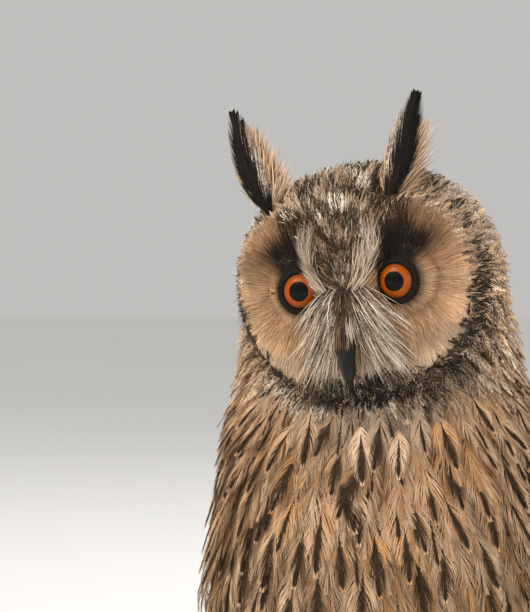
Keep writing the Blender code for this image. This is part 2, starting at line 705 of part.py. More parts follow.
def main():
    clear_scene()
    head = head_shape()
    eyes = {side: eye_shape(side) for side in (1, -1)}
    upper_beak = beak_shape(BEAK_PATH, BEAK_WIDTH, BEAK_DEPTH)
    lower_beak = beak_shape(LOWER_BEAK_PATH, BEAK_WIDTH * 0.75, BEAK_DEPTH * 0.5)
    neck_rings = [body_ring(q) for q in (-22, 0, 12, 24, NECK_TO_TORSO)]
    torso_rings = [body_ring(q) for q in (NECK_TO_TORSO + GAP, 50, 66, 82, 98, 114, 128, 141, 153, 163)]
    torso_rings += [body_ring(q) for q in (172, 181, 188, 194, 198)]
    torso = loft(torso_rings, last_tip=np.mean(torso_rings[-1], axis=0) + np.array([0, 1.5, -1.2]))

    solid("head", [head, lid_shape(1), lid_shape(-1)], [grown(eyes[1], GAP), grown(eyes[-1], GAP)])
    solid("eye_left", [eyes[1]], colour=IRIS_ORANGE, roughness=0.05)
    solid("eye_right", [eyes[-1]], colour=IRIS_ORANGE, roughness=0.05)
    nostrils = [
        (from_head(points), faces)
        for points, faces in (ball((s * (BEAK_WIDTH - 0.9), -33.6, -14.2), NOSTRIL_RADIUS, 8, 6) for s in (1, -1))
    ]
    solid("beak_upper", [upper_beak], [grown(head, GAP)] + nostrils, HORN_BLACK, 0.35)
    solid("beak_lower", [lower_beak], [grown(head, GAP), grown(upper_beak, GAP)], HORN_BLACK, 0.35)
    solid("neck", [loft(neck_rings)], [grown(head, GAP)])
    solid("torso", [torso])
    for side, name in ((1, "left"), (-1, "right")):
        solid(f"ear_tuft_{name}", tuft_shapes(side), [grown(head, GAP)], TUFT_BLACK)
        solid(f"wing_{name}", [wing_core(side)] + wing_vanes(side), [grown(torso, GAP)], PLUMAGE_GREY)
        solid(f"leg_{name}", [leg_shape(side)], [grown(torso, GAP)])
        foot = foot_shapes(side)
        solid(f"foot_{name}", foot)
        for (toe, angle, length), toe_shape in zip(TOES, foot[1:]):
            solid(f"claw_{name}_{toe}", [claw_shape(angle, length, side)], [grown(toe_shape, GAP)], HORN_BLACK, 0.3)
    solid("tail", tail_shapes(), [grown(torso, GAP)], PLUMAGE_GREY)
    centre_on_origin()


main()
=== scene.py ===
"""Looks of a life-size long-eared owl: its skin, every layer of feathers, eyes, beak and claws.

The bird faces -Y with its left side towards +X and stands on the floor at z = 0.
Shapes are worked out in millimetres and become metres when a mesh is made.
"""

import itertools
import math
from typing import NamedTuple

import bpy
import numpy as np
from bpy.props import FloatProperty, FloatVectorProperty, IntProperty, PointerProperty
from mathutils import Matrix, Vector
from mathutils.bvhtree import BVHTree


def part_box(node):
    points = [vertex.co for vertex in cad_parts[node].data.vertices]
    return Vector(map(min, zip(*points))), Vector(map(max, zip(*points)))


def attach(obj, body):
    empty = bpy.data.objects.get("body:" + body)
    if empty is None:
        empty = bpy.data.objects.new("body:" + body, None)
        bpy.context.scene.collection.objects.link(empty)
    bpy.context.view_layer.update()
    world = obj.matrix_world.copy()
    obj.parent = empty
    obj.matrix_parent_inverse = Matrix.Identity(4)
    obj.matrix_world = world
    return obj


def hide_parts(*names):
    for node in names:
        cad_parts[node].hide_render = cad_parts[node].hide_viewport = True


bl_info = {
    "name": "Long-Eared Owl",
    "version": (1, 0, 0),
    "blender": (4, 5, 0),
    "location": "3D View > Sidebar > Owl",
    "description": "Builds the skin, feathers, eyes, beak and claws of a standing long-eared owl",
    "category": "Object",
}

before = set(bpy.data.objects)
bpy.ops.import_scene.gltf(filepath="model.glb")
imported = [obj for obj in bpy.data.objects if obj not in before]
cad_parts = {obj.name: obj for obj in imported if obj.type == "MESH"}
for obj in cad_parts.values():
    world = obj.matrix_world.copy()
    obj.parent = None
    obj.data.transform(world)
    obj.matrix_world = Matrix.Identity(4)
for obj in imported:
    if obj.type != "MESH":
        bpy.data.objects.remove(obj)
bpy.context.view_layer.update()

MM = 0.001
SIDES = {"left": 1, "right": -1}
# Each toe is (angle outwards from straight ahead, length)
TOES = {"inner": (-20.0, 25.0), "middle": (14.0, 30.0), "outer": (96.0, 24.0), "hind": (192.0, 17.0)}

# The head's turn, and its own frame: x to the bird's left, -y out of the face, the eyes at z = 0
HEAD_YAW, HEAD_PITCH, HEAD_ROLL = 3.0, 3.0, 6.5
DISC_HALF_WIDTH, DISC_TOP, DISC_BOTTOM, DISC_SQUARENESS = 45.0, 34.0, 38.5, 2.3
# The face lies in front of this y
FACE_FROM = -6
EYE_X, EYE_DEEP, EYE_RADIUS = 18.2, 17.5, 10.5
EYE_SPLAY = -1.5
# How far the clear front of the eye stands out, as a share of the eye's radius
CORNEA = 0.085
IRIS_RADIUS, PUPIL_RADIUS = 6.2, 3.6
NECK_FROM_HEAD = (0.0, 8.0, -17.0)
FOOT_FROM_HEAD = (27.0, 31.0)
# The heights at which the legs leave the belly and the toes begin
LEG_TOP, TOE_TOP = 62, 16
# How far feathers and claws stay above the floor
FEATHER_GAP, CLAW_GAP = 0.02, 0.15

# The body's axis, from the top of the neck (q = 0) to the tail tip, and how far it leans back
UPRIGHT_LEAN, TAIL_LEAN = 18.0, 57.0
BEND_FROM, BEND_TO = 110.0, 200.0
AXIS_FROM, AXIS_TO = -30, 310
# Each station is (q, half width, offset of the centre to the front, half depth)
CLOAK_STATIONS = (
    (-22, 36, -10, 22), (0, 48, -7, 35), (22, 53, -1.5, 43.5), (45, 57, 5, 50), (70, 61, 9, 52),
    (100, 65, 11, 52), (125, 63, 9, 49), (150, 55, 5, 43), (175, 44, 0, 33), (200, 36, -4, 21),
    (225, 30, -5, 14), (250, 26, -6, 10), (275, 22, -6, 8), (300, 18, -6, 7),
)

BREAST_BUFF = (0.52, 0.27, 0.115)
ORANGE_BUFF = (0.54, 0.265, 0.075)
CREAM = (0.80, 0.58, 0.39)
NAPE_TAN = (0.50, 0.29, 0.145)
BACK_GREY = (0.23, 0.165, 0.115)
FACE_TAN = (0.37, 0.195, 0.092)
FACE_PALE = (0.58, 0.38, 0.225)
WHISKER_WHITE = (0.74, 0.63, 0.50)
CROWN_GREY = (0.27, 0.195, 0.135)
SOOT = (0.012, 0.009, 0.007)
DARK_BROWN = (0.034, 0.02, 0.011)


# Settings


class OwlSettings(bpy.types.PropertyGroup):
    """Measures and colours that can be changed before the owl is built."""

    seed: IntProperty(name="Seed", description="Start of every random draw", default=11, min=0)
    body_spacing: FloatProperty(
        name="Body feather spacing", description="Distance between the roots of body feathers",
        default=5.8 * MM, unit="LENGTH", subtype="DISTANCE",
    )
    streak_spacing: FloatProperty(
        name="Streaked feather spacing", description="Distance between the streaked outer feathers",
        default=10.4 * MM, unit="LENGTH", subtype="DISTANCE",
    )
    crown_spacing: FloatProperty(
        name="Crown feather spacing", description="Distance between the small feathers of the head",
        default=2.5 * MM, unit="LENGTH", subtype="DISTANCE",
    )
    face_bristles: IntProperty(
        name="Face bristles", description="Bristles on each half of the facial disc", default=20000, min=100,
    )
    body_depth: FloatProperty(
        name="Body coat depth", description="How far the skin lies inside the body's outline",
        default=7 * MM, unit="LENGTH", subtype="DISTANCE",
    )
    iris_colour: FloatVectorProperty(
        name="Iris", description="Colour of the iris", default=(0.37, 0.068, 0.002),
        subtype="COLOR", min=0, max=1,
    )
    streak_colour: FloatVectorProperty(
        name="Streaks", description="Colour of the dark streaks", default=DARK_BROWN,
        subtype="COLOR", min=0, max=1,
    )
    floor_colour: FloatVectorProperty(
        name="Floor", description="Colour of the floor", default=(0.94, 0.93, 0.91),
        subtype="COLOR", min=0, max=1,
    )


def settings():
    return bpy.context.scene.owl_settings


# Vectors, one to a row


def unit(vectors):
    return vectors / np.maximum(np.linalg.norm(vectors, axis=-1, keepdims=True), 1e-9)


def dot(a, b):
    return (a * b).sum(-1, keepdims=True)


def flattened(vectors, normals):
    """The vectors laid into the planes that have these normals, at length one."""
    return unit(vectors - normals * dot(vectors, normals))


def ramp(x, low, high):
    """0 below low, 1 above high and a smooth step between; low may be the greater."""
    t = np.clip((x - low) / (high - low), 0, 1)
    return t * t * (3 - 2 * t)


def blended(a, b, share):
    share = np.asarray(share, float)[..., None]
    return np.asarray(a) * (1 - share) + np.asarray(b) * share


def layered(colour, *layers):
    """A colour with each (other colour, share) blended over it in turn."""
    for other, share in layers:
        colour = blended(colour, other, share)
    return colour


def either(chosen, a, b):
    """Rows of a where chosen, else of b."""
    return np.where(np.asarray(chosen)[:, None], a, b)


# Where the head and the body are


HEAD_TURN = np.array(
    Matrix.Rotation(-math.radians(HEAD_YAW), 3, "Z")
    @ Matrix.Rotation(math.radians(HEAD_PITCH), 3, "X")
    @ Matrix.Rotation(-math.radians(HEAD_ROLL), 3, "Y")
)


def node_centre(node):
    low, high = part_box(node)
    return np.array((low + high) / 2) / MM


EYES_MIDDLE = (node_centre("eye_left") + node_centre("eye_right")) / 2
HEAD_CENTRE = EYES_MIDDLE + HEAD_TURN @ np.array([0, EYE_DEEP, 0])
AXIS_START = HEAD_CENTRE + np.array(NECK_FROM_HEAD)


def from_head(points):
    return np.asarray(points, float) @ HEAD_TURN.T + HEAD_CENTRE


def to_head(points):
    return (points - HEAD_CENTRE) @ HEAD_TURN


def lean_at(q):
    return np.radians(UPRIGHT_LEAN + (TAIL_LEAN - UPRIGHT_LEAN) * ramp(q, BEND_FROM, BEND_TO))


def way_down(q):
    """The axis's direction towards the tail."""
    lean = lean_at(q)
    return np.stack([0 * lean, np.sin(lean), -np.cos(lean)], -1)


AXIS_Q = np.arange(AXIS_FROM, AXIS_TO + 1)
AXIS_STEPS = way_down(AXIS_Q + 0.5)
AXIS = np.cumsum(AXIS_STEPS, 0) - AXIS_STEPS
AXIS = AXIS - AXIS[-AXIS_FROM] + AXIS_START


def axis_point(q):
    return np.stack([np.interp(q, AXIS_Q, AXIS[:, k]) for k in range(3)], -1)


def front_of(q):
    lean = lean_at(q)
    return np.stack([0 * lean, -np.cos(lean), -np.sin(lean)], -1)


def body_place(points):
    """(q, phi) of points: q down the axis, phi 0 at the breast and 180 at the back, signed by side."""
    away = ((points[:, None, :] - AXIS[None, ::3, :]) ** 2).sum(-1)
    q = AXIS_Q[::3][away.argmin(1)].astype(float)
    out = points - axis_point(q)
    return q, np.degrees(np.arctan2(out[:, 0], (out * front_of(q)).sum(-1)))


def cloak_point(q, phi, lift):
    """Points on the surface that the folded wings lie on; q, phi and lift are arrays of one shape."""
    table = np.array(CLOAK_STATIONS, float)
    half_width, offset, half_depth = (np.interp(q, table[:, 0], table[:, k]) for k in (1, 2, 3))
    angle = np.radians(phi)
    front = front_of(q)
    across = np.array([1.0, 0, 0])
    point = axis_point(q) + front * (offset + half_depth * np.cos(angle))[..., None]
    point = point + across * (half_width * np.sin(angle))[..., None]
    outward = across * (half_depth * np.sin(angle))[..., None]
    outward = unit(outward + front * (half_width * np.cos(angle))[..., None])
    return point + outward * np.asarray(lift)[..., None], outward


def disc_share(local):
    """How far out in the facial disc points lie: 0 at its middle, 1 on its rim."""
    x, _, z = local.T
    wide = np.abs(x) / DISC_HALF_WIDTH
    tall = np.abs(z) / np.where(z > 0, DISC_TOP, DISC_BOTTOM)
    return (wide**DISC_SQUARENESS + tall**DISC_SQUARENESS) ** (1 / DISC_SQUARENESS)


def eye_centre(side):
    return np.array([side * EYE_X, -EYE_DEEP, 0])


# Meshes from arrays


def mesh_piece(name, points, triangles, material, uvs=(), colours=()):
    """A smooth mesh object that rides on the body; uvs and colours are (name, one row for each point)."""
    mesh = bpy.data.meshes.new(name)
    mesh.vertices.add(len(points))
    mesh.vertices.foreach_set("co", np.asarray(points * MM, np.float32).ravel())
    corners = np.asarray(triangles, np.int32).ravel()
    mesh.loops.add(len(corners))
    mesh.loops.foreach_set("vertex_index", corners)
    mesh.polygons.add(len(triangles))
    mesh.polygons.foreach_set("loop_start", np.arange(0, len(corners), 3, dtype=np.int32))
    mesh.polygons.foreach_set("use_smooth", np.ones(len(triangles), bool))
    for uv_name, rows in uvs:
        layer = mesh.uv_layers.new(name=uv_name)
        layer.data.foreach_set("uv", np.asarray(rows, np.float32)[corners].ravel())
    for colour_name, rows in colours:
        attribute = mesh.attributes.new(colour_name, "FLOAT_COLOR", "POINT")
        attribute.data.foreach_set("color", np.asarray(rows, np.float32).ravel())
    mesh.update(calc_edges=True)
    mesh.validate()
    mesh.materials.append(material)
    obj = bpy.data.objects.new(name, mesh)
    bpy.context.scene.collection.objects.link(obj)
    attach(obj, "root")
    return obj


def arrays_of(obj):
    """(points in millimetres, triangles, point normals) of a mesh object."""
    mesh = obj.data
    mesh.calc_loop_triangles()

    def read(items, key, kind=float):
        values = np.zeros(len(items) * 3, kind)
        items.foreach_get(key, values)
        return values.reshape(-1, 3)

    triangles = read(mesh.loop_triangles, "vertices", np.int32)
    return read(mesh.vertices, "co") / MM, triangles, read(mesh.vertex_normals, "vector")


def loft(rings, first_tip=None, last_tip=None):
    """Points and triangles of a skin over rings of points, each end closed by a tip or left open."""
    count = len(rings[0])
    points = [np.asarray(ring) for ring in rings]
    triangles = []
    for i in range(len(rings) - 1):
        for k in range(count):
            a, b = i * count + k, i * count + (k + 1) % count
            triangles += [(a, b, b + count), (a, b + count, a + count)]
    end = len(rings) * count
    for tip, start in ((first_tip, 0), (last_tip, end - count)):
        if tip is None:
            continue
        points.append(np.asarray(tip, float)[None, :])
        for k in range(count):
            a, b = start + k, start + (k + 1) % count
            triangles.append((end, b, a) if start == 0 else (end, a, b))
        end += 1
    return np.concatenate(points), np.array(triangles)


def joined(shapes):
    """Several (points, triangles) as one."""
    points, triangles, start = [], [], 0
    for shape_points, shape_triangles in shapes:
        points.append(shape_points)
        triangles.append(np.asarray(shape_triangles) + start)
        start += len(shape_points)
    return np.concatenate(points), np.concatenate(triangles)


# Shader maths


COAT_ROUGHNESS, WATER_IOR = 0.03, 1.36


class Sheet:
    """One material's nodes, and the sockets they start from."""

    def __init__(self, name, roughness, specular, coat=0.0):
        self.material = bpy.data.materials.new(name)
        self.material.use_nodes = True
        self.nodes = self.material.node_tree.nodes
        self.links = self.material.node_tree.links
        self.shader = self.nodes["Principled BSDF"]
        self.feed("Roughness", roughness)
        self.feed("Specular IOR Level", specular)
        self.feed("Coat Weight", coat)
        self.feed("Coat Roughness", COAT_ROUGHNESS)
        self.feed("Coat IOR", WATER_IOR)

    def node(self, kind, output=0, inputs=None, **choices):
        """Any node: its choices are set first, then its inputs; returns one output."""
        made = self.nodes.new(kind)
        for key, value in choices.items():
            setattr(made, key, value)
        for key, value in (inputs or {}).items():
            self.plug(value, made.inputs[key])
        return Value(self, made.outputs[output])

    def plug(self, value, socket):
        if isinstance(value, Value):
            self.links.new(value.socket, socket)
        elif socket.type == "RGBA" and len(value) == 3:
            socket.default_value = (*value, 1)
        else:
            socket.default_value = value

    def feed(self, name, value):
        self.plug(value, self.shader.inputs[name])

    def maths(self, operation, *values):
        return self.node("ShaderNodeMath", inputs=dict(enumerate(values)), operation=operation)

    def place(self):
        return self.node("ShaderNodeTexCoord", "Object")

    def noise(self, scale, detail=2.0, place=None, stretch=None):
        place = self.place() if place is None else place
        if stretch:
            place = self.node("ShaderNodeMapping", inputs={"Vector": place, "Scale": stretch})
        return self.node("ShaderNodeTexNoise", inputs={"Vector": place, "Scale": scale, "Detail": detail})

    def step(self, value, low, high):
        """0 at low, 1 at high, smooth between."""
        inputs = {"Value": value, "From Min": low, "From Max": high}
        return self.node("ShaderNodeMapRange", inputs=inputs, interpolation_type="SMOOTHSTEP")

    def mix(self, factor, a, b):
        made = self.nodes.new("ShaderNodeMix")
        made.data_type = "RGBA"
        for value, socket in ((factor, made.inputs[0]), (a, made.inputs[6]), (b, made.inputs[7])):
            self.plug(value, socket)
        return Value(self, made.outputs[2])

    def scaled(self, colour, value):
        """A colour made lighter or darker by a value."""
        inputs = {"Vector": colour, "Scale": value}
        return self.node("ShaderNodeVectorMath", inputs=inputs, operation="SCALE")

    def attribute(self, name, output="Color"):
        return self.node("ShaderNodeAttribute", output, attribute_name=name)

    def parts(self, vector):
        made = self.nodes.new("ShaderNodeSeparateXYZ")
        self.plug(vector, made.inputs[0])
        return [Value(self, socket) for socket in made.outputs]

    def bump(self, height, strength, distance):
        inputs = {"Height": height, "Strength": strength, "Distance": distance}
        self.feed("Normal", self.node("ShaderNodeBump", inputs=inputs))


class Value:
    """A socket that Python's operators work on."""

    def __init__(self, sheet, socket):
        self.sheet = sheet
        self.socket = socket

    def __add__(self, other):
        return self.sheet.maths("ADD", self, other)

    def __sub__(self, other):
        return self.sheet.maths("SUBTRACT", self, other)

    def __mul__(self, other):
        return self.sheet.maths("MULTIPLY", self, other)

    def __abs__(self):
        return self.sheet.maths("ABSOLUTE", self)

    __radd__ = __add__
    __rmul__ = __mul__


def plume_material(name, dark, pale, bars=0.0, vermiculation=0.0, inner_fringe=0.0):
    """Feathers: a dark streak down the middle, cross bars, paler edges and fine mottling.

    Each feather's colour is in its tint attribute, with a shade for each barb beside it. Its marks
    attribute holds the half width of the streak, the strength of the bars, the paleness of the edge
    and a random number. An inner fringe frosts that share of the vane's inner side.
    """
    sheet = Sheet(name, 0.72, specular=0.1)
    inner, along, _ = sheet.parts(sheet.node("ShaderNodeUVMap", uv_map="Vane"))
    across = abs(inner - 0.5) * 2
    streak, bar, edge = sheet.parts(sheet.attribute("marks"))
    chance = sheet.attribute("marks", "Alpha")
    grain = sheet.attribute("tint", "Alpha")
    wander = (sheet.noise(260) - 0.5) * 0.16
    fine = sheet.noise(900, 3.0)
    colour = sheet.scaled(sheet.attribute("tint"), 0.76 + grain * 0.3 + sheet.noise(60) * 0.28)
    swell = sheet.step(along, 0.10, 0.72) * sheet.step(along, 1.0, 0.80)
    half = streak * swell
    beside = sheet.step(across + wander, half + 0.02, half + 0.30) * sheet.step(along, 0.25, 0.7)
    colour = sheet.mix(beside * edge, colour, pale)
    if vermiculation:
        speckle = sheet.step(fine + wander, 0.47, 0.60) * vermiculation
        colour = sheet.mix(speckle, colour, dark)
    if bars:
        wave = sheet.maths("SINE", (along + wander * 0.35) * (math.tau * bars) + chance * 6.28)
        band = sheet.step(wave, 0.15, 0.6) * bar
        colour = sheet.mix(band, colour, dark)
    mask = sheet.step(across + wander * 0.7, half, half * 0.4) * sheet.step(streak, 0.02, 0.08)
    colour = sheet.mix(mask, colour, dark)
    if inner_fringe:
        ragged = inner + (grain - 0.5) * 0.30 + wander * 0.5
        frosted = sheet.step(ragged, inner_fringe + 0.10, inner_fringe - 0.06)
        frosted = frosted * sheet.step(along, 0.1, 0.3) * (0.25 + 0.75 * sheet.step(fine, 0.42, 0.52))
        colour = sheet.mix(frosted, colour, pale)
    sheet.feed("Base Color", colour)
    return sheet.material


def bristle_material(name):
    """Hair-like feathers: their own colour, a little lighter or darker from one to the next."""
    sheet = Sheet(name, 0.7, specular=0.12)
    grain = sheet.attribute("tint", "Alpha")
    shade = 0.76 + grain * 0.48 + (sheet.noise(420) - 0.5) * 0.25
    sheet.feed("Base Color", sheet.scaled(sheet.attribute("tint"), shade))
    return sheet.material


def skin_material():
    sheet = Sheet("skin_down", 0.9, specular=0.1)
    down = sheet.noise(700, 3.0)
    sheet.feed("Base Color", sheet.scaled(sheet.attribute("tint"), 0.35 + down * 0.5))
    sheet.bump(down, 0.4, 0.0006)
    return sheet.material


# Skin


FLESH = ("head", "neck", "torso", "leg_left", "leg_right", "foot_left", "foot_right")
SKIN_VOXEL = 1.6 * MM
FACE_COAT, CROWN_COAT, LEG_COAT, FOOT_COAT = 1.8, 3.6, 3.0, 0.9


def coat_depth(points):
    """How thick the coat is over points of the outline."""
    local = to_head(points)
    on_head = 1 - ramp(np.linalg.norm(local * np.array([0.9, 1, 1]), axis=1), 44, 60)
    depth = settings().body_depth / MM * (1 - on_head) + CROWN_COAT * on_head
    depth = np.where((disc_share(local) < 1.0) & (local[:, 1] < FACE_FROM), FACE_COAT, depth)
    height = points[:, 2]
    on_legs = np.minimum(depth, LEG_COAT + 4 * ramp(height, 40, LEG_TOP))
    return np.where(height < TOE_TOP, FOOT_COAT, np.where(height < LEG_TOP, on_legs, depth))


def build_skin():
    """One skin over every node of flesh, lying inside their outline by the coat's depth."""
    bpy.ops.object.select_all(action="DESELECT")
    copies = [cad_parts[name].copy() for name in FLESH]
    for copy in copies:
        copy.data = copy.data.copy()
        copy.parent = None
        bpy.context.scene.collection.objects.link(copy)
        copy.select_set(True)
    whole = copies[0]
    bpy.context.view_layer.objects.active = whole
    bpy.ops.object.join()
    bpy.ops.object.mode_set(mode="EDIT")
    bpy.ops.mesh.select_all(action="SELECT")
    bpy.ops.mesh.remove_doubles(threshold=0.00001)
    bpy.ops.object.mode_set(mode="OBJECT")
    remesh = whole.modifiers.new("skin", "REMESH")
    remesh.mode = "VOXEL"
    remesh.voxel_size = SKIN_VOXEL
    smooth = whole.modifiers.new("smooth", "SMOOTH")
    smooth.iterations = 6
    for modifier in (remesh, smooth):
        bpy.ops.object.modifier_apply(modifier=modifier.name)
    points, triangles, normals = arrays_of(whole)
    bpy.data.objects.remove(whole)
    # The coat's depth is evened out from point to point, so that the skin has no steps
    depth = coat_depth(points)
    edges = np.concatenate([triangles[:, [0, 1]], triangles[:, [1, 2]], triangles[:, [2, 0]]])
    count = np.maximum(np.bincount(edges.ravel(), minlength=len(points)), 1)
    for _ in range(12):
        total = sum(np.bincount(edges[:, k], depth[edges[:, 1 - k]], len(points)) for k in (0, 1))
        depth = 0.5 * depth + 0.5 * total / count
    points = points - normals * depth[:, None]
    tint = np.concatenate([root_colour(points), np.ones((len(points), 1))], 1)
    uvs = [("OFBake", unwrapped(points))]
    skin = mesh_piece("skin", points, triangles, skin_material(), uvs, [("tint", tint)])
    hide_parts(*FLESH)
    return skin


# The unwrap's bands for the head and the body are (where it starts, how far it runs up)
HEAD_BAND, BODY_BAND = (0.6, 0.39), (0.58, -0.57)


def unwrapped(points):
    """Places on an unwrap of the skin: the head from pole to pole above, the body round its axis below."""

    def placed(round_it, along, band):
        return np.stack([0.01 + 0.98 * round_it, band[0] + band[1] * along], 1)

    local = to_head(points)
    reach = np.linalg.norm(local, axis=1)
    on_head = reach < 56
    turn = np.arctan2(local[:, 0], -local[:, 1]) / math.tau + 0.5
    rise = np.arcsin(np.clip(local[:, 2] / np.maximum(reach, 1), -1, 1)) / math.pi + 0.5
    q, phi = body_place(points)
    down = np.clip((q - AXIS_FROM) / (AXIS_TO - AXIS_FROM), 0, 1)
    return either(on_head, placed(turn, rise, HEAD_BAND), placed(phi / 360 + 0.5, down, BODY_BAND))


def root_colour(points):
    """The plumage's ground colour at points of the skin."""
    local = to_head(points)
    q, phi = body_place(points)
    phi = np.abs(phi)
    front = 1 - ramp(phi, 88, 118)
    breast = blended(BREAST_BUFF, ORANGE_BUFF, ramp(q, 45, 80) * (0.7 + 0.3 * patchy(points, 30, 4)))
    breast = breast * (0.90 - 0.38 * ramp(q, 35, 80) + 0.26 * ramp(q, 110, 150))[:, None]
    breast = blended(breast, CREAM, 0.35 * ramp(q, 110, 170) + 0.35 * ramp(patchy(points, 17, 9), 0.0, 0.7))
    body = layered(
        blended(NAPE_TAN, BACK_GREY, ramp(q, 20, 70)), (breast, front),
        (blended(BREAST_BUFF, CREAM, 0.4), 1 - ramp(points[:, 2], 40, 70)),
    )
    on_head = 1 - ramp(np.linalg.norm(local, axis=1), 48, 58)
    x, y, z = local.T
    side = ramp(np.abs(x), 18, 34) * ramp(-z, -12, 10)
    crown = layered(CROWN_GREY, (NAPE_TAN, ramp(y, 0, 30) * 0.7), (BREAST_BUFF, side))
    return blended(body, either(on_face(points), FACE_TAN, crown), on_head)


# Feathers


# How light a shaft is beside its barbs, and the width of each feather's patch of the baked picture
SHAFT_GRAIN, PATCH = 0.35, 0.003
# How many hairs there are: on the crown, beside the beak on each side, and on its ridge
CROWN_TIPS, WHISKERS, RIDGE_HAIRS = 11000, 1500, 900


def along_line(samples, t):
    """Values at shares t of the samples, (feathers, steps, 3); t's first axis is the feathers too."""
    steps = samples.shape[1]
    x = np.clip(t, 0, 1) * (steps - 1)
    i = np.minimum(x.astype(int), steps - 2)
    f = (x - i)[..., None]
    row = np.arange(len(samples)).reshape((-1,) + (1,) * (t.ndim - 1))
    return samples[row, i] * (1 - f) + samples[row, i + 1] * f


def vane_outline(t, blunt):
    """Half width of a feather at shares t of its length, as a share of its greatest half width."""
    rise = np.clip(t / 0.32, 0, 1) ** 0.7
    fall = np.clip((1 - t) / (1 - 0.55), 0, 1) ** blunt
    return (0.35 + 0.65 * rise) * fall


class Feathers(NamedTuple):
    """Feathers of one kind: their lines on the skin and how each looks."""

    line: np.ndarray
    normal: np.ndarray
    across: np.ndarray
    half_width: np.ndarray
    tint: np.ndarray
    marks: np.ndarray
    roots: np.ndarray

    def part(self, chosen):
        return Feathers(*(value[chosen] for value in self))


class Bristles(NamedTuple):
    """Hair-like feathers: their lines, widths, and colours at the root and at the tip."""

    line: np.ndarray
    side_way: np.ndarray
    half_width: np.ndarray
    tint: np.ndarray
    roots: np.ndarray
    tips: np.ndarray


def vane_meshes(feathers, barbs, rng, slant=38, blunt=0.6, camber=0.10, curve_radius=60,
                fray=0.25, ragged=0.16, shaft=0.22, cover=1.25, bent=True):
    """Barbs on both sides of each feather's shaft, each a strip narrowing to a point, and the shaft.

    slant is the barbs' angle to the shaft; blunt, camber, curve_radius, fray and ragged shape the vane;
    shaft is the shaft's half width, and cover how far barbs overlap. One that isn't bent is one triangle.
    """
    count = len(feathers.line)
    width = feathers.half_width[:, None, None]
    length = np.linalg.norm(np.diff(feathers.line, axis=1), axis=2).sum(1)[:, None, None]
    slots = (np.arange(barbs)[None, None, :] + rng.random((count, 2, barbs)) * 0.7) / barbs
    start = 0.985 * slots
    side = np.array([-1.0, 1.0])[None, :, None]
    lean = np.radians(slant * rng.uniform(0.8, 1.2, start.shape))
    forward = width / (length * np.tan(lean))
    end = np.minimum(start + forward * rng.uniform(0.85, 1.2, start.shape), 1.0)
    reach = vane_outline(end * 0.985, blunt) * rng.uniform(1 - ragged, 1 + ragged * 0.4, start.shape)
    places, shares = [], []
    for share, out in ((0.0, 0.0), (0.5, 0.62), (1.0, 1.0)):
        t = start + (end - start) * share
        offset = out * reach
        droop = offset**2 * (camber * width + width**2 / (2 * curve_radius))
        lift = rng.normal(0, 1, start.shape) * fray * out
        centre = along_line(feathers.line, t)
        up = along_line(feathers.normal, t)
        sideways = along_line(feathers.across, t)
        places.append(centre + sideways * (side * offset * width)[..., None] + up * (lift - droop)[..., None])
        shares.append((0.5 + 0.5 * side * offset, t))
    up = along_line(feathers.normal, start)
    edge = unit(np.cross(up, places[2] - places[0]))
    half = cover * length / barbs * 0.5 * np.sin(lean) * np.ones(start.shape)
    corners, uvs = [], []
    for k, wide in ((0, 1.0), (1, 0.85))[:2 if bent else 1]:
        for sign in (-1, 1):
            corners.append(places[k] + edge * (sign * wide * half)[..., None])
            uvs.append(np.stack(shares[k], -1))
    corners.append(places[2])
    uvs.append(np.stack(shares[2], -1))
    each = len(corners)
    points = np.stack(corners, 3).reshape(-1, 3)
    vane_uv = np.stack(uvs, 3).reshape(-1, 2)
    strips = count * 2 * barbs
    faces = ((0, 1, 3), (0, 3, 2), (2, 3, 4)) if bent else ((0, 1, 2),)
    triangles = (np.arange(strips)[:, None, None] * each + np.array(faces)[None]).reshape(-1, 3)
    owner = np.repeat(np.arange(count), 2 * barbs * each)
    grain = np.repeat(np.clip(rng.normal(0.5, 0.22, strips), 0, 1), each)
    if shaft:
        rail, rail_faces, rail_uv, rail_owner = shaft_meshes(feathers, shaft)
        triangles = np.concatenate([triangles, rail_faces + len(points)])
        points = np.concatenate([points, rail])
        vane_uv = np.concatenate([vane_uv, rail_uv])
        owner = np.concatenate([owner, rail_owner])
        grain = np.concatenate([grain, np.full(len(rail), SHAFT_GRAIN)])
    return points, triangles, vane_uv, owner, grain


def shaft_meshes(feathers, half_width):
    """A strip down each feather that stops short of its tip."""
    count, steps = len(feathers.line), 6
    t = np.broadcast_to(np.linspace(0, 0.97, steps), (count, steps))
    centre = along_line(feathers.line, t) + along_line(feathers.normal, t) * 0.12
    sideways = along_line(feathers.across, t) * (half_width * (1 - 0.75 * t)[..., None])
    rail = np.stack([centre - sideways, centre + sideways], 2).reshape(-1, 3)
    at = np.arange(count)[:, None] * steps * 2 + np.arange(steps - 1)[None, :] * 2
    at = at.ravel()[:, None]
    faces = np.concatenate([at + np.array([0, 1, 3]), at + np.array([0, 3, 2])])
    middle = np.full((count, steps, 2), 0.5)
    uv = np.stack([middle, np.repeat(t[..., None], 2, 2)], -1).reshape(-1, 2)
    return rail, faces, uv, np.repeat(np.arange(count), steps * 2)


def feather_piece(name, feathers, material, slot, rng, barbs, **shape):
    """Feathers as a piece; shape is what vane_meshes takes."""
    points, triangles, vane_uv, owner, grain = vane_meshes(feathers, barbs, rng, **shape)
    tint = np.concatenate([feathers.tint[owner], grain[:, None]], 1)
    uvs = [("Vane", vane_uv), ("OFBake", unwrapped(feathers.roots)[owner] + (vane_uv - 0.5) * PATCH)]
    colours = [("tint", tint), ("marks", feathers.marks[owner])]
    return mesh_piece(name, above_floor(points), triangles, material, uvs, colours)


def above_floor(points):
    """The points, with those that dip under the floor lifted to just over it."""
    points[:, 2] = np.maximum(points[:, 2], FEATHER_GAP)
    return points


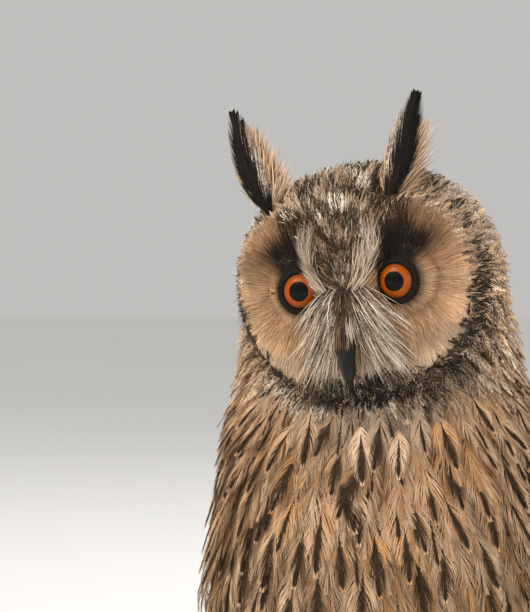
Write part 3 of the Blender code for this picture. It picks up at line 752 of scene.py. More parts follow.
def flesh_piece(name, points, triangles, colour, material):
    """A downy root that the flight feathers grow from."""
    tint = np.tile([*colour, 1.0], (len(points), 1))
    uvs = [("OFBake", unwrapped(points))]
    return mesh_piece(name, points, triangles, material, uvs, [("tint", tint)])


def bristle_piece(name, bristles, material, rng):
    """Bristles as a piece: each a strip along its line that narrows to a point."""
    line, side_way, half_width, tint, roots, tips = bristles
    count, steps, _ = line.shape
    taper = np.linspace(1, 0.35, steps - 1)[None, :, None]
    sideways = side_way[:, None, :] * half_width[:, None, None] * taper
    body = np.stack([line[:, :-1] - sideways, line[:, :-1] + sideways], 2).reshape(count, -1, 3)
    points = np.concatenate([body, line[:, -1:]], 1)
    each = points.shape[1]
    faces = []
    for i in range(steps - 2):
        faces += [(2 * i, 2 * i + 1, 2 * i + 3), (2 * i, 2 * i + 3, 2 * i + 2)]
    faces.append((each - 3, each - 2, each - 1))
    triangles = (np.arange(count)[:, None, None] * each + np.array(faces)[None]).reshape(-1, 3)
    along = np.append(np.repeat(np.linspace(0, 1, steps)[:-1], 2), 1.0)
    across = np.append(np.tile([0.0, 1.0], steps - 1), 0.5)
    vane_uv = np.tile(np.stack([across, along], 1), (count, 1))
    owner = np.repeat(np.arange(count), each)
    grain = np.clip(rng.normal(0.5, 0.25, count), 0, 1)[owner]
    towards_tip = np.tile(ramp(along, 0.15, 0.6), count)
    tint = np.concatenate([blended(tint[owner], tips[owner], towards_tip), grain[:, None]], 1)
    uvs = [("Vane", vane_uv), ("OFBake", unwrapped(roots)[owner] + (vane_uv - 0.5) * PATCH)]
    points = above_floor(points.reshape(-1, 3))
    return mesh_piece(name, points, triangles, material, uvs, [("tint", tint)])


class Skin:
    """The skin as something to sow roots on and to lay feathers along."""

    def __init__(self, obj):
        self.points, self.triangles, _ = arrays_of(obj)
        self.tree = BVHTree.FromPolygons(self.points.tolist(), self.triangles.tolist())
        corners = self.points[self.triangles]
        cross = np.cross(corners[:, 1] - corners[:, 0], corners[:, 2] - corners[:, 0])
        self.area = np.linalg.norm(cross, axis=1) / 2
        self.middle = corners.mean(1)

    def nearest(self, points):
        found = [self.tree.find_nearest(p) for p in points.tolist()]
        return np.array([f[0] for f in found]), np.array([f[1] for f in found])

    def met(self, points, way):
        """Where lines from the points along one way first meet the skin, or else the nearest place."""
        point, normal = self.nearest(points)
        for i, start in enumerate(points.tolist()):
            place, facing, _, _ = self.tree.ray_cast(start, way)
            if place is not None:
                point[i], normal[i] = place, facing
        return point, normal

    def random_roots(self, count, wanted, rng):
        """Random places on the skin, denser where wanted(points) is nearer to 1."""
        weight = self.area * wanted(self.middle)
        draw = rng.choice(len(weight), count, p=weight / weight.sum())
        a, b = rng.random((2, count, 1))
        fold = a + b > 1
        a, b = np.where(fold, 1 - a, a), np.where(fold, 1 - b, b)
        corners = self.points[self.triangles[draw]]
        return corners[:, 0] + a * (corners[:, 1] - corners[:, 0]) + b * (corners[:, 2] - corners[:, 0])

    def spaced_roots(self, spacing, wanted, rng, tries=7):
        """Places on the skin no nearer to each other than spacing(points)."""
        room = (self.area * wanted(self.middle) / spacing(self.middle) ** 2).sum()
        place = self.random_roots(int(room * tries), wanted, rng)
        gap = spacing(place)
        keys = np.floor(place / gap.max()).astype(int).tolist()
        cells, kept = {}, []
        for i, (point, near, (x, y, z)) in enumerate(zip(place.tolist(), gap.tolist(), keys)):
            around = itertools.product((x - 1, x, x + 1), (y - 1, y, y + 1), (z - 1, z, z + 1))
            others = (other for key in around for other in cells.get(key, ()))
            if all(math.dist(point, other) >= near for other in others):
                cells.setdefault((x, y, z), []).append(point)
                kept.append(i)
        return place[kept]

    def laid(self, roots, towards, length, low, high, steps, ease):
        """Lines that run over the skin from the roots, rising from low to high above it."""
        point, normal = self.nearest(roots)
        way = flattened(towards, normal)
        line, normals, across = [], [], []
        for k in range(steps):
            t = k / (steps - 1)
            height = low + (high - low) * t**ease
            line.append(point + normal * height[:, None])
            normals.append(normal)
            across.append(unit(np.cross(way, normal)))
            if k < steps - 1:
                ahead = point + way * (length / (steps - 1))[:, None]
                point, normal = self.nearest(ahead)
                normal = unit(normal)
                way = flattened(way, normal)
        return np.stack(line, 1), np.stack(normals, 1), np.stack(across, 1)


def body_lie(points, rng, stray=0.12):
    """The way body feathers lie: down the body's axis, parting a little from the middle of the breast."""
    q, phi = body_place(points)
    way = way_down(q)
    way[:, 0] += 0.10 * np.sin(np.radians(phi))
    return way + rng.normal(0, stray, way.shape)


def head_lie(points, rng, stray=0.12):
    """The way the head's feathers lie: from the beak over the crown to the nape, and down at the sides."""
    local = to_head(points)
    way = unit(local - np.array([0, -38, -6]))
    _, y, z = local.T
    down = np.maximum(ramp(-z, -12, 22) * ramp(y, -20, 0), ramp(y, -6, 16))
    way = blended(way, (0, 0.45, -1), down)
    return way @ HEAD_TURN.T + rng.normal(0, stray, way.shape)


# Plumage of the body


def patchy(points, size, seed):
    """Soft patches about size millimetres across, from -1 to 1."""
    rng = np.random.default_rng(seed)
    waves = rng.normal(0, 1, (9, 3)) / size * 2.2
    turns = rng.uniform(0, math.tau, 9)
    return np.clip(np.sin(points @ waves.T + turns).sum(1) / 3.2, -1, 1)


def head_reach(points):
    return np.linalg.norm(to_head(points) * np.array([0.96, 1.05, 1.0]), axis=1)


def feather_length(points):
    q, _ = body_place(points)
    length = np.interp(q, (-20, 5, 40, 90, 150, 205), (12, 15, 24, 31, 33, 26))
    return length * (1 - 0.62 * ramp(points[:, 2], 66, 46)) * (1 - 0.45 * ramp(points[:, 2], 24, TOE_TOP))


def marks_of(count, streak, bar, edge, rng):
    columns = (streak, bar, edge, rng.random(count))
    return np.stack([np.broadcast_to(np.asarray(c, float), (count,)) for c in columns], 1)


def varied(colour, rng, amount=0.10, warmth=0.06):
    """Colours made lighter, darker, warmer or cooler at random, one for each row."""
    shade = np.exp(rng.normal(0, amount, (len(colour), 1)))
    warm = rng.normal(0, warmth, (len(colour), 1))
    return np.clip(colour * shade * (1 + warm * np.array([[0.4, 0, -1.0]])), 0, 1)


def under_plumage(skin, rng):
    """The dense inner layer of body feathers: roots, lines and plain marks."""
    spacing = settings().body_spacing / MM

    def wanted(points):
        return (head_reach(points) > 47) & (points[:, 2] > 44) & ~on_face(points)

    roots = skin.spaced_roots(lambda p: spacing * feather_length(p) / 29, wanted, rng)
    length = feather_length(roots) * rng.uniform(0.9, 1.12, len(roots))
    high = coat_depth(roots) * rng.uniform(0.72, 1.0, len(roots)) + cape(roots)
    lines = skin.laid(roots, body_lie(roots, rng), length, 0.3, high, 6, 0.8)
    q, phi = body_place(roots)
    colour = varied(root_colour(roots), rng, 0.16)
    front = (1 - ramp(np.abs(phi), 95, 120)) * (1 - 0.4 * ramp(q, 45, 80))
    cream = rng.random(len(roots)) ** 2 * front
    # Painted shade: the inner layer's colour is made a fifth darker, standing for the shade under the outer
    # layer, before cream is blended over the front
    colour = blended(colour * 0.80, CREAM, 0.5 * np.minimum(cream, 0.55))
    streak = np.where(rng.random(len(roots)) < 0.22, 0.22, 0.0) * (1 - 0.4 * ramp(q, 50, 90))
    marks = marks_of(len(roots), streak, 0, rng.uniform(0.1, 0.7, len(roots)), rng)
    return Feathers(*lines, length * 0.235, colour, marks, roots)


def cape(points):
    """How much further the feathers at the sides of the neck stand out, over the wings' front edge."""
    q, phi = body_place(points)
    phi = np.abs(phi)
    return 5.0 * ramp(phi, 35, 65) * ramp(phi, 165, 135) * ramp(q, 48, 20) * ramp(q, -34, -16)


def outer_plumage(skin, rng):
    """The sparser outer layer, each feather with its dark streak and pale edges."""
    spacing = settings().streak_spacing / MM

    def wanted(points):
        return (head_reach(points) > 50) & (points[:, 2] > LEG_TOP) & ~on_face(points)

    def gap(points):
        belly = ramp(body_place(points)[0], 62, 100)
        return spacing * (feather_length(points) / 29) ** 0.9 * (1 + 0.14 * belly)

    roots = skin.spaced_roots(gap, wanted, rng)
    count = len(roots)
    length = feather_length(roots) * rng.uniform(0.84, 1.2, count)
    length = length * (1 + 0.2 * ramp(body_place(roots)[0], 62, 100) * ramp(roots[:, 2], 70, 100))
    neck = ramp(cape(roots), 0, 3)
    high = coat_depth(roots) + rng.uniform(0.2, 2.6, count) * (1 - 0.6 * neck) + cape(roots)
    lines = skin.laid(roots, body_lie(roots, rng, 0.11), length, 1.2, high, 6, 0.7)
    q, phi = body_place(roots)
    front = 1 - ramp(np.abs(phi), 95, 125)
    belly = ramp(q, 62, 100)
    bold = rng.uniform(-0.6, 1.0, count)
    streak = (0.54 + 0.42 * bold) * (1 - 0.6 * belly) * rng.uniform(0.85, 1.15, count) * (1 - 0.5 * neck)
    colour = varied(root_colour(roots), rng, 0.2)
    colour = layered(colour, (CREAM, 0.65 * rng.random(count) ** 2 * front), (CREAM, 0.3 * neck))
    edge = front * rng.uniform(0.5, 1.0, count) + (1 - front) * 0.35
    marks = marks_of(count, streak, 0.35 * belly * front * rng.random(count), edge, rng)
    return Feathers(*lines, length * 0.25, colour, marks, roots)


def flank_plumage(rng):
    """Long soft feathers from the sides of the breast that lie over the wings' front edge."""
    grid = [(q, 64 + 8.0 * row) for row in range(4) for q in np.arange(14 + 4 * row, 168, 8.5)]
    count = 2 * len(grid)
    q, phi = np.tile(np.transpose(grid), 2) + rng.normal(0, 2.0, (2, count))
    length = np.interp(q, (10, 90, 170), (26, 36, 36)) * rng.uniform(0.9, 1.1, count)
    t = np.linspace(0, 1, 8)[None, :]
    along_q = q[:, None] + length[:, None] * t
    along_phi = phi[:, None] + (7 + 6 * ramp(q, 40, 90))[:, None] * t
    top = np.interp(q, (10, 50, 100, 170), (2.5, 5.0, 9.5, 7.0)) + rng.uniform(-0.8, 0.8, count)
    lift = -5.0 + (top + 5.0)[:, None] * t**0.6
    line, outward = cloak_point(along_q, along_phi, lift)
    aside, _ = cloak_point(along_q, along_phi + 1, lift)
    across = flattened(aside - line, outward)
    flip = np.repeat([[[1, 1, 1]], [[-1, 1, 1]]], len(grid), axis=0)
    bold = ramp(rng.random(count), 0.4, 0.8)
    streak = (0.20 + 0.22 * bold) * (1 - 0.4 * ramp(q, 50, 100))
    colour = varied(root_colour(line[:, 0] * flip[:, 0]), rng, 0.14)
    colour = blended(colour, CREAM, 0.5 * rng.random(count))
    marks = marks_of(count, streak, 0.25 * rng.random(count), rng.uniform(0.4, 0.9, count), rng)
    line = line * flip
    return Feathers(line, outward * flip, across * flip, length * 0.235, colour, marks, line[:, 0])


def back_part(feathers):
    return np.abs(body_place(feathers.roots)[1]) > 100


def leg_plumage(skin, rng):
    """Short plain feathers over the legs and toes."""
    roots = skin.spaced_roots(lambda p: 1.25 + 1.6 * ramp(p[:, 2], 14, 40), lambda p: p[:, 2] < 50, rng)
    roots = roots[roots[:, 2] > 0.8]
    count = len(roots)
    toes = ramp(roots[:, 2], 17, 11)
    middle = np.where(roots[:, :1] > 0, foot_middle(1), foot_middle(-1))
    outward = unit((roots - middle) * np.array([1, 1, 0.2]))
    way = blended((0, -0.05, -1.0), outward, toes) + rng.normal(0, 0.1, (count, 3))
    length = 15.0 - 10.8 * toes
    high = 4.6 - 3.8 * toes
    lines = skin.laid(roots, way, length, 0.15, high, 4, 0.9)
    colour = varied(np.tile(blended(BREAST_BUFF, CREAM, 0.5), (count, 1)), rng, 0.1)
    marks = marks_of(count, 0.0, 0, 0.35, rng)
    return Feathers(*lines, 0.24 * length + 0.3, colour, marks, roots)


def foot_middle(side):
    """The point of the floor under an ankle."""
    x, y = FOOT_FROM_HEAD
    return np.array([side * x, HEAD_CENTRE[1] + y, 0])


# Head


def on_face(points):
    local = to_head(points)
    return (disc_share(local) < 0.97) & (local[:, 1] < FACE_FROM)


# Each brow is (its distance from the middle at the eyes' height, how much further for each unit up)
BROWS = {1: (3.8, 0.68), -1: (8.6, 0.48)}


def brow_line(x, z):
    """How far from the middle each brow's centre lies at a height; the two aren't raised alike."""
    left, right = (BROWS[side][0] + BROWS[side][1] * np.minimum(z, 18) for side in (1, -1))
    return np.where(x > 0, left, right)


def forehead(local):
    """1 on the mottled wedge that runs from the crown down between the brows to the beak."""
    x, _, z = local.T
    half = np.clip(brow_line(x, z) - 1.6, 1.4, 24) + 7 * ramp(z, 17, 27)
    return ramp(np.abs(x), half + 1.5, half - 1.5) * ramp(z, -11, -6)


# How far each ear tuft stands from the middle, and how high
TUFT_X, TUFT_Z = {1: 16.0, -1: 29.0}, 30.0


def crown_colour(roots, rng):
    """Mottled grey and white on the crown, tan at the nape, buff at the sides, dark by the tufts."""
    local = to_head(roots)
    x, y, z = local.T
    back = ramp(y, -8, 22)
    side = ramp(np.abs(x), 26, 40)
    light = rng.random(len(roots))
    dark = ramp(patchy(roots, 5.5, 8), 0.05, 0.35) * (1 - side) * 0.95
    tuft = np.hypot(x - np.where(x > 0, TUFT_X[1], -TUFT_X[-1]), z - TUFT_Z)
    dark = np.maximum(dark, ramp(tuft, 10, 6) * (y < 4))
    low = forehead(local) * ramp(z, 24, 0)
    dark = np.maximum(dark, low * np.where(light < 0.55, 0.95, 0.45))
    colour = layered(
        CROWN_GREY,
        ((0.36, 0.25, 0.165), ramp(patchy(roots, 7, 3), -0.3, 0.7)),
        (NAPE_TAN, 0.8 * back),
        ((0.58, 0.41, 0.27), 0.8 * side * (1 - 0.4 * back)),
        (CREAM, np.where(light > 0.8, 0.55, 0)),
        ((0.60, 0.37, 0.20), 0.7 * side * ramp(-z, -20, 6)),
        ((0.90, 0.78, 0.64), 0.85 * ramp(patchy(roots, 6, 5), 0.1, 0.45) * (1 - 0.6 * side)),
        (WHISKER_WHITE, low * (light > 0.80) * 0.5),
    )
    return blended(varied(colour, rng, 0.2), SOOT, dark)


def neck_fill(local):
    """How much further the plumage stands out low on the sides of the head, where it runs into the neck."""
    x, y, z = local.T
    return 5.0 * ramp(np.abs(x), 24, 38) * ramp(-z, -6, 14) * ramp(y, -16, -2)


def crown_tips(skin, rng):
    """Loose hair-like tips that soften the crown, the sides of the head and the rim."""

    def wanted(points):
        local = to_head(points)
        face = on_face(points) & (forehead(local) < 0.5) & (disc_share(local) < 0.91)
        return (head_reach(points) < 54) & ~face

    roots = skin.random_roots(CROWN_TIPS, wanted, rng)
    count = len(roots)
    local = to_head(roots)
    _, y, z = local.T
    front = ramp(y, -4, -26)
    length = (8.5 - 4.5 * front + neck_fill(local)) * rng.uniform(0.6, 1.1, count)
    high = (2.0 + 1.9 * (1 - front)) * rng.uniform(0.7, 1.3, count) + neck_fill(local)
    line, _, across = skin.laid(roots, head_lie(roots, rng, 0.28), length, 0.2, high, 4, 0.8)
    tips = crown_colour(roots, rng) * 1.1
    pick = rng.random(count)
    low = forehead(local) * ramp(z, 26, 8)
    rim = ramp(np.abs(disc_share(local) - 0.97), 0.10, 0.03) * ramp(z, 20, 0) * (y < 2)
    tips = layered(
        tips, (CREAM, 0.7 * (pick > 0.84 + 0.08 * low)),
        (DARK_BROWN, 0.85 * (pick < 0.22 + 0.38 * low)), (SOOT, 0.95 * rim * (pick < 0.8)),
    )
    half_width = rng.uniform(0.11, 0.2, count)
    return Bristles(line, across[:, 0], half_width, tips * 0.6, roots, np.clip(tips, 0, 1))


def crown_plumage(skin, rng):
    """Small mottled feathers of the forehead, crown, nape and the sides behind the disc."""
    spacing = settings().crown_spacing / MM

    def wanted(points):
        local = to_head(points)
        face = on_face(points) & (forehead(local) < 0.5)
        return (head_reach(points) < 52) & ~face

    def size_at(points):
        return 0.5 + 0.5 * ramp(to_head(points)[:, 1], -26, -4)

    roots = skin.spaced_roots(lambda p: spacing * size_at(p), wanted, rng)
    count = len(roots)
    local = to_head(roots)
    x, y, _ = local.T
    size = size_at(roots)
    side = ramp(np.abs(x), 26, 40)
    length = 10.0 * size * rng.uniform(0.85, 1.15, count)
    length = length * (1 + 0.3 * ramp(y, 10, 30) + 0.35 * side)
    high = (1.3 + 2.0 * ramp(y, -28, -5) + 0.8 * side) * rng.uniform(0.8, 1.15, count)
    length, high = length + neck_fill(local), high + neck_fill(local)
    lines = skin.laid(roots, head_lie(roots, rng), length, 0.2, high, 4, 0.8)
    streak = np.where(rng.random(count) < 0.42 - 0.3 * side, 0.45, 0.0)
    marks = marks_of(count, streak, 0, 0.45, rng)
    return Feathers(*lines, 2.35 * size, crown_colour(roots, rng), marks, roots)


def ruff_plumage(skin, rng):
    """Short stiff feathers round the rim of the disc, black and specked with white."""

    def wanted(points):
        local = to_head(points)
        x, y, z = local.T
        share = disc_share(local)
        top = (np.abs(x) < 17) & (z > 0)
        return (share > 0.90) & (share < 1.0) & (y < 0) & ~top

    roots = skin.spaced_roots(lambda p: np.full(len(p), 1.25), wanted, rng)
    count = len(roots)
    local = to_head(roots)
    x, _, z = local.T
    out = unit(local * np.array([1, 0, 1])) + np.array([0, 0.25, 0])
    way = out @ HEAD_TURN.T + rng.normal(0, 0.2, (count, 3))
    length = rng.uniform(4.0, 6.2, count)
    lines = skin.laid(roots, way, length, 0.3, rng.uniform(1.4, 3.2, count), 4, 0.7)
    low = ramp(z, 14, -8) * (0.35 + 0.65 * ramp(np.abs(x), 10, 26))
    outer = 3.0 * (disc_share(local) - 0.94)
    black = ramp(0.7 * patchy(roots, 5, 21) + 1.3 * low - 0.25 + outer, -0.25, 0.35)
    pale = rng.random(count)
    colour = blended((0.44, 0.29, 0.18), SOOT, black)
    colour = either(pale > 0.82 + 0.13 * black, np.array(CREAM) * 0.75, colour)
    marks = marks_of(count, 0, 0, 0.12, rng)
    return Feathers(*lines, np.full(count, 1.15), varied(colour, rng, 0.15), marks, roots)


def throat_plumage(skin, rng):
    """The dark band under the chin."""

    def wanted(points):
        x, y, z = to_head(points).T
        return (np.hypot(x * 0.34, (z + 34.0) * 1.4) < 9) & (y < -8)

    roots = skin.spaced_roots(lambda p: np.full(len(p), 1.05), wanted, rng)
    count = len(roots)
    way = np.array([0, -0.15, -1.0]) + rng.normal(0, 0.34, (count, 3))
    length = rng.uniform(4, 6.5, count)
    lines = skin.laid(roots, way, length, 0.8, rng.uniform(2.6, 5.0, count), 4, 0.7)
    near = ramp(np.abs(to_head(roots)[:, 0]), 24, 8)
    pick = rng.random(count)
    colour = blended((0.36, 0.24, 0.15), SOOT, 0.3 + 0.7 * near)
    colour = either(pick > 0.91, np.array(CREAM) * 0.7, colour)
    marks = marks_of(count, 0.3, 0, 0.15, rng)
    return Feathers(*lines, np.full(count, 0.95), varied(colour, rng, 0.2), marks, roots)


def face_fields(local, side, rng):
    """(lie, length, colour, lift) of the disc's bristles at places of the head's own frame."""
    count = len(local)
    x, z = local[:, 0] * side, local[:, 2]
    share = disc_share(local)
    from_eye = np.stack([x - EYE_X, z], 1)
    far = np.linalg.norm(from_eye, axis=1)
    spread = from_eye / np.maximum(far, 0.1)[:, None]
    angle = np.arctan2(spread[:, 1], spread[:, 0])
    degrees = np.degrees(angle)
    pick = rng.random(count)

    # Ragged borders between the brows, the whiskers and the rest
    u, v = x + rng.normal(0, 0.7, count), z + rng.normal(0, 0.9, count)
    brow = ramp(np.abs(u - brow_line(local[:, 0], v)), 2.9, 1.0) * ramp(v, -9, -5) * ramp(v, 16, 9)
    fan = ramp(u - 3.0 - 0.85 * np.maximum(-v - 6, 0), 1.5, -1.5) * ramp(v, -4, -7) * ramp(v, -25, -20)
    middle = ramp(u, 2.6, 1.4) * ramp(v, -22, -15) * ramp(v, 0, -4)

    # Bristles spread from the eye, but beside the beak they run up to the brow or fall over its base
    inner = ramp(x, 14, 9) * ramp(z, 22, 14)
    up = np.array([0.50, 1.0])
    fall = unit(np.stack([x + 1.0 + 0.03 * x * x, z - 2.5], 1))
    rising = ramp(z, -7, -3)
    inward = blended(fall, up, rising)
    lie = blended(spread, inward, inner)

    length = 8.5 + 3.0 * ramp(far, 8, 18) - 3.5 * ramp(share, 0.8, 0.97)
    length = length * (1 - 0.45 * ramp(far, 12, 8.5)) + 3.0 * brow + 5.0 * fan
    above = ramp(np.abs(degrees - 80), 85, 35)
    rays = np.sin(13 * angle + 1.3) + np.sin(29 * angle + 0.4 * far) + np.sin(47 * angle - 0.3 * far)
    white = ramp(np.abs(degrees + 60), 50, 15) * ramp(far, 15, 24) * (0.4 + 0.6 * (pick > 0.4))
    colour = layered(
        FACE_TAN,
        (FACE_PALE, 0.34 + 0.16 * rays * ramp(far, 9, 16)),
        (FACE_PALE, 0.75 * ramp(share, 0.5, 0.9) * (1 - 0.7 * above)),
        ((0.80, 0.63, 0.45), 0.6 * white),
        ((0.24, 0.12, 0.055), 0.8 * above * ramp(far, 27, 12)),
        ((0.30, 0.15, 0.07), 0.75 * ramp(np.abs(degrees + 118), 26, 8) * ramp(far, 24, 14)),
        ((0.34, 0.18, 0.09), 0.6 * ramp(far, 14, 9)),
    )
    colour = colour * (1 + 0.26 * patchy(local, 7, 31) * ramp(far, 11, 16))[:, None]

    # Black lies round the eye and in a column above it, with the pale brow and whisker fan over it
    patch = ramp(np.abs(degrees - 105), 78, 52) * ramp(far, 17.0, 13.5)
    column = ramp(np.abs(x - (16.5 + 0.1 * z)), 8.0, 4.0) * ramp(z, 10, 14)
    dark = np.maximum.reduce([patch, 0.93 * column * (pick < 0.85), ramp(far, 9.2, 8.3)])
    pale = blended((0.36, 0.25, 0.165), WHISKER_WHITE, rng.random(count) ** 0.6)
    colour = layered(
        colour, (SOOT, dark * (1 - brow)),
        (either(pick > 0.56, pale, np.array(DARK_BROWN) * 1.5), brow),
        (either(pick > 0.5, pale, (0.11, 0.07, 0.045)), fan),
        (blended((0.05, 0.03, 0.02), (0.42, 0.27, 0.16), pick), middle),
    )
    lift = 1.1 + 0.8 * rng.random(count) + (1.0 + 1.6 * (pick > 0.56)) * brow
    lift = lift + (0.4 + 2.2 * (pick > 0.5)) * fan + 3.0 * ramp(x, 7, 2) * ramp(z, -2, -9) * ramp(z, -24, -17)
    lie = np.stack([lie[:, 0] * side, np.zeros(count), lie[:, 1]], 1)
    return lie, length, colour, lift


def face_bristles(skin, side, rng):
    """Bristles of one half of the facial disc, spreading from the eye and falling over the beak's base."""

    def wanted(points):
        local = to_head(points)
        x, y, z = local.T
        eye = np.hypot(x - side * EYE_X, z)
        half = (x * side > 0) & (disc_share(local) < 0.95) & (y < FACE_FROM)
        clear = half & (eye > 7.2) & (forehead(local) < 0.6)
        return clear * (0.5 + 0.5 * ramp(np.abs(x), 24, 12) + 0.6 * ramp(eye, 11, 8))

    roots = skin.random_roots(settings().face_bristles, wanted, rng)
    count = len(roots)
    local = to_head(roots)
    lie, length, colour, high = face_fields(local, side, rng)
    lie = lie + rng.normal(0, 0.15, (count, 3))
    length = length * rng.uniform(0.7, 1.15, count)
    line, _, across = skin.laid(roots, lie @ HEAD_TURN.T, length, 0.1, high, 4, 0.9)
    half_width = rng.uniform(0.12, 0.23, count)
    colour = varied(colour, rng, 0.17, 0.05)
    return Bristles(line, across[:, 0], half_width, colour, roots, colour)


# The lid's ring is (radius, how far ahead of the eye's centre), from its inner edge out
LID_PROFILE = (
    (6.15, 7.9), (6.25, 8.9), (6.55, 9.2), (7.0, 9.15), (7.5, 8.8), (8.1, 8.0), (8.8, 6.4), (9.4, 4.0),
)


def orbit_bristles(skin, side, rng):
    """Short fine bristles that leave the lid all round and run down its slope onto the disc."""
    count = settings().face_bristles // 4
    ahead, across, over = gaze_axes(side)
    turn = rng.uniform(0, math.tau, count)
    out = across * np.cos(turn)[:, None] + over * np.sin(turn)[:, None]
    short = rng.random(count) < 0.45
    radius = np.where(short, rng.uniform(6.8, 7.8, count), rng.uniform(7.7, 9.3, count))
    rise = np.interp(radius, *np.array(LID_PROFILE)[1:].T)
    start = eye_centre(side) + ahead * rise[:, None] + out * radius[:, None]
    lie = unit(out + rng.normal(0, 0.12, (count, 3)))
    beyond = start + lie * rng.uniform(3.0, 5.5, count)[:, None] + ahead * 4
    end, normal = skin.met(from_head(beyond), Vector(HEAD_TURN @ -ahead))
    end = to_head(end + normal * rng.uniform(1.1, 2.2, count)[:, None])
    end = either(short, start + (lie - 0.4 * ahead) * rng.uniform(0.8, 1.8, count)[:, None], end)
    t = np.linspace(0, 1, 4)[None, :, None]
    arch = np.where(short, 0.5, 2.4)[:, None, None]
    line = start[:, None] * (1 - t) + end[:, None] * t + ahead * (arch * t * (1 - t))
    _, _, tips, _ = face_fields(end, side, rng)
    tips = either(short, SOOT, varied(tips, rng, 0.11))
    sideways = unit(np.cross(ahead, end - start)) @ HEAD_TURN.T
    half_width = rng.uniform(0.12, 0.2, count)
    colour = blended(tips, SOOT, ramp(radius, 9.0, 8.0))
    return Bristles(from_head(line), sideways, half_width, colour, from_head(end), tips)


# (y, z) of the feathering that runs down the ridge of the beak, in the head's frame
RIDGE_PATH = ((-31.0, -4.0), (-36.0, -9.0), (-41.2, -14.0), (-44.6, -20.0), (-45.2, -23.5))


def ridge_hairs(rng):
    """Dark hair-like feathers that lie down the upper part of the beak's ridge."""
    count = RIDGE_HAIRS
    x = rng.normal(0, 1.5, count)
    first = rng.uniform(0.0, 0.45, count)
    last = first + rng.uniform(0.25, 0.5, count)
    path = smooth_path(RIDGE_PATH, 60)
    t = np.linspace(0, 1, 5)[None, :]
    share = np.clip(first[:, None] * (1 - t) + last[:, None] * t, 0, 1) * 59
    y, z = (np.interp(share, np.arange(60), path[:, k]) for k in (0, 1))
    arch = rng.uniform(0.0, 1.3, count)[:, None] * np.sin(np.pi * np.minimum(t + 0.15, 1))
    lift = arch - 0.16 * np.abs(x[:, None]) ** 1.7
    aside = x[:, None] * (1 + 0.55 * t) + rng.normal(0, 0.5, count)[:, None] * t
    line = from_head(np.stack([aside, y - 0.7 * lift, z + 0.3 * lift], 2))
    pick = rng.random(count)
    tips = blended((0.02, 0.014, 0.01), (0.20, 0.125, 0.075), pick**2)
    pale = rng.random(count) < 0.5 * ramp(np.abs(x), 1.0, 2.4)
    tips = either(pale, np.array(WHISKER_WHITE) * 0.75, tips)
    sideways = np.tile(HEAD_TURN[:, 0], (count, 1))
    return Bristles(line, sideways, rng.uniform(0.12, 0.22, count), tips * 0.5, line[:, 0], tips)


# How whiskers bend outwards, back and down: (mean, spread) of each
WHISKER_BEND = ((0.10, 0.16), (0.45, 0.1), (-0.50, 0.1))


def beak_whiskers(skin, side, rng):
    """Bristles that spring forward from round the beak's base and hang over its upper part."""

    def wanted(points):
        x, y, z = (to_head(points) * np.array([side, 1, 1])).T
        return (x > -0.5) & (x < 7.5) & (z < 0) & (z > -18) & (y < -15)

    count = WHISKERS
    roots = skin.random_roots(count, wanted, rng)
    local = to_head(roots)
    x, z = local[:, 0] * side, local[:, 2]
    lower = ramp(z, -2, -12)
    out = 0.10 + 0.09 * np.maximum(x, 0) + rng.normal(0, 0.10, count)
    ahead = 0.95 - 0.35 * ramp(x, 2, 6) - 0.2 * lower
    way = np.stack([out * side, -ahead, -0.45 - 0.3 * lower], 1) + rng.normal(0, 0.08, (count, 3))
    spread, lag, sag = (rng.normal(middle, stray, count) for middle, stray in WHISKER_BEND)
    bend = np.stack([spread * side, lag, sag], 1)[:, None]
    middle = ramp(x, 2.4, 1.0)
    length = (10.5 + 3.5 * ramp(x, 1, 5) - 1.5 * middle) * rng.uniform(0.6, 1.2, count)
    t = np.linspace(0, 1, 5)[None, :, None]
    line = local[:, None] + length[:, None, None] * (t * way[:, None] + t**2 * bend)
    pick = rng.random(count)
    pale = blended((0.46, 0.34, 0.23), (0.90, 0.80, 0.67), rng.random(count) ** 0.7)
    dull = blended((0.03, 0.02, 0.014), (0.22, 0.14, 0.085), rng.random(count) ** 1.5)
    tips = either(pick > 0.48 + 0.5 * middle, pale, dull)
    sideways = unit(np.cross(way, [0, -1.0, 0.3])) @ HEAD_TURN.T
    # Painted shade: each whisker's root is painted at three tenths of its tip colour, for the shade among the
    # whiskers
    return Bristles(from_head(line), sideways, rng.uniform(0.12, 0.23, count), tips * 0.3, roots, tips)


TUFT_LENGTH = 42.4
# How far each tuft leans out at its tip and how much further at its foot, in degrees
TUFT_LEAN = {1: (20.0, 3.0), -1: (16.5, 8.0)}
# Each vane of a tuft is (share of its length, extra lean out, half width, step back)
TUFT_VANES = (
    (1.0, 0, 6.0, 0.0), (0.99, 0.6, 6.0, 0.5), (0.975, -0.8, 5.9, 1.0), (0.95, 1.2, 5.8, 1.5),
    (0.9, -1.6, 5.6, 2.0), (0.8, 2.4, 5.4, 2.6), (0.66, -3, 5.2, 3.2), (0.98, 0.3, 5.9, 3.8),
    (0.9, -0.6, 5.6, 4.6), (0.5, 2, 5.0, -0.6),
)
# The hairs of a tuft on one side of the head, at its inner (-1) or outer (1) edge: how many, how high up
# they start, how far they lean out and how long they are
TUFT_HAIRS = {
    (-1, -1): (640, 0.68, (5, 50), 15.0), (-1, 1): (240, 0.42, (5, 30), 9.0),
    (1, -1): (420, 0.74, (3, 24), 9.5), (1, 1): (420, 0.60, (8, 56), 14.0),
}


def tuft_foot(side):
    x = TUFT_X[side]
    return np.array([side * x, -31 + 15.5 * (x / 45) ** 1.6 + 7.9, TUFT_Z - 3.0])


def tuft_bow(side, extra, t):
    """How far a tuft leans out at shares t of its length, in radians: it curves in towards its tip."""
    tip, more = TUFT_LEAN[side]
    return np.radians(tip + more * (1 - t) + extra + 0.35 * extra * (t - 0.5))


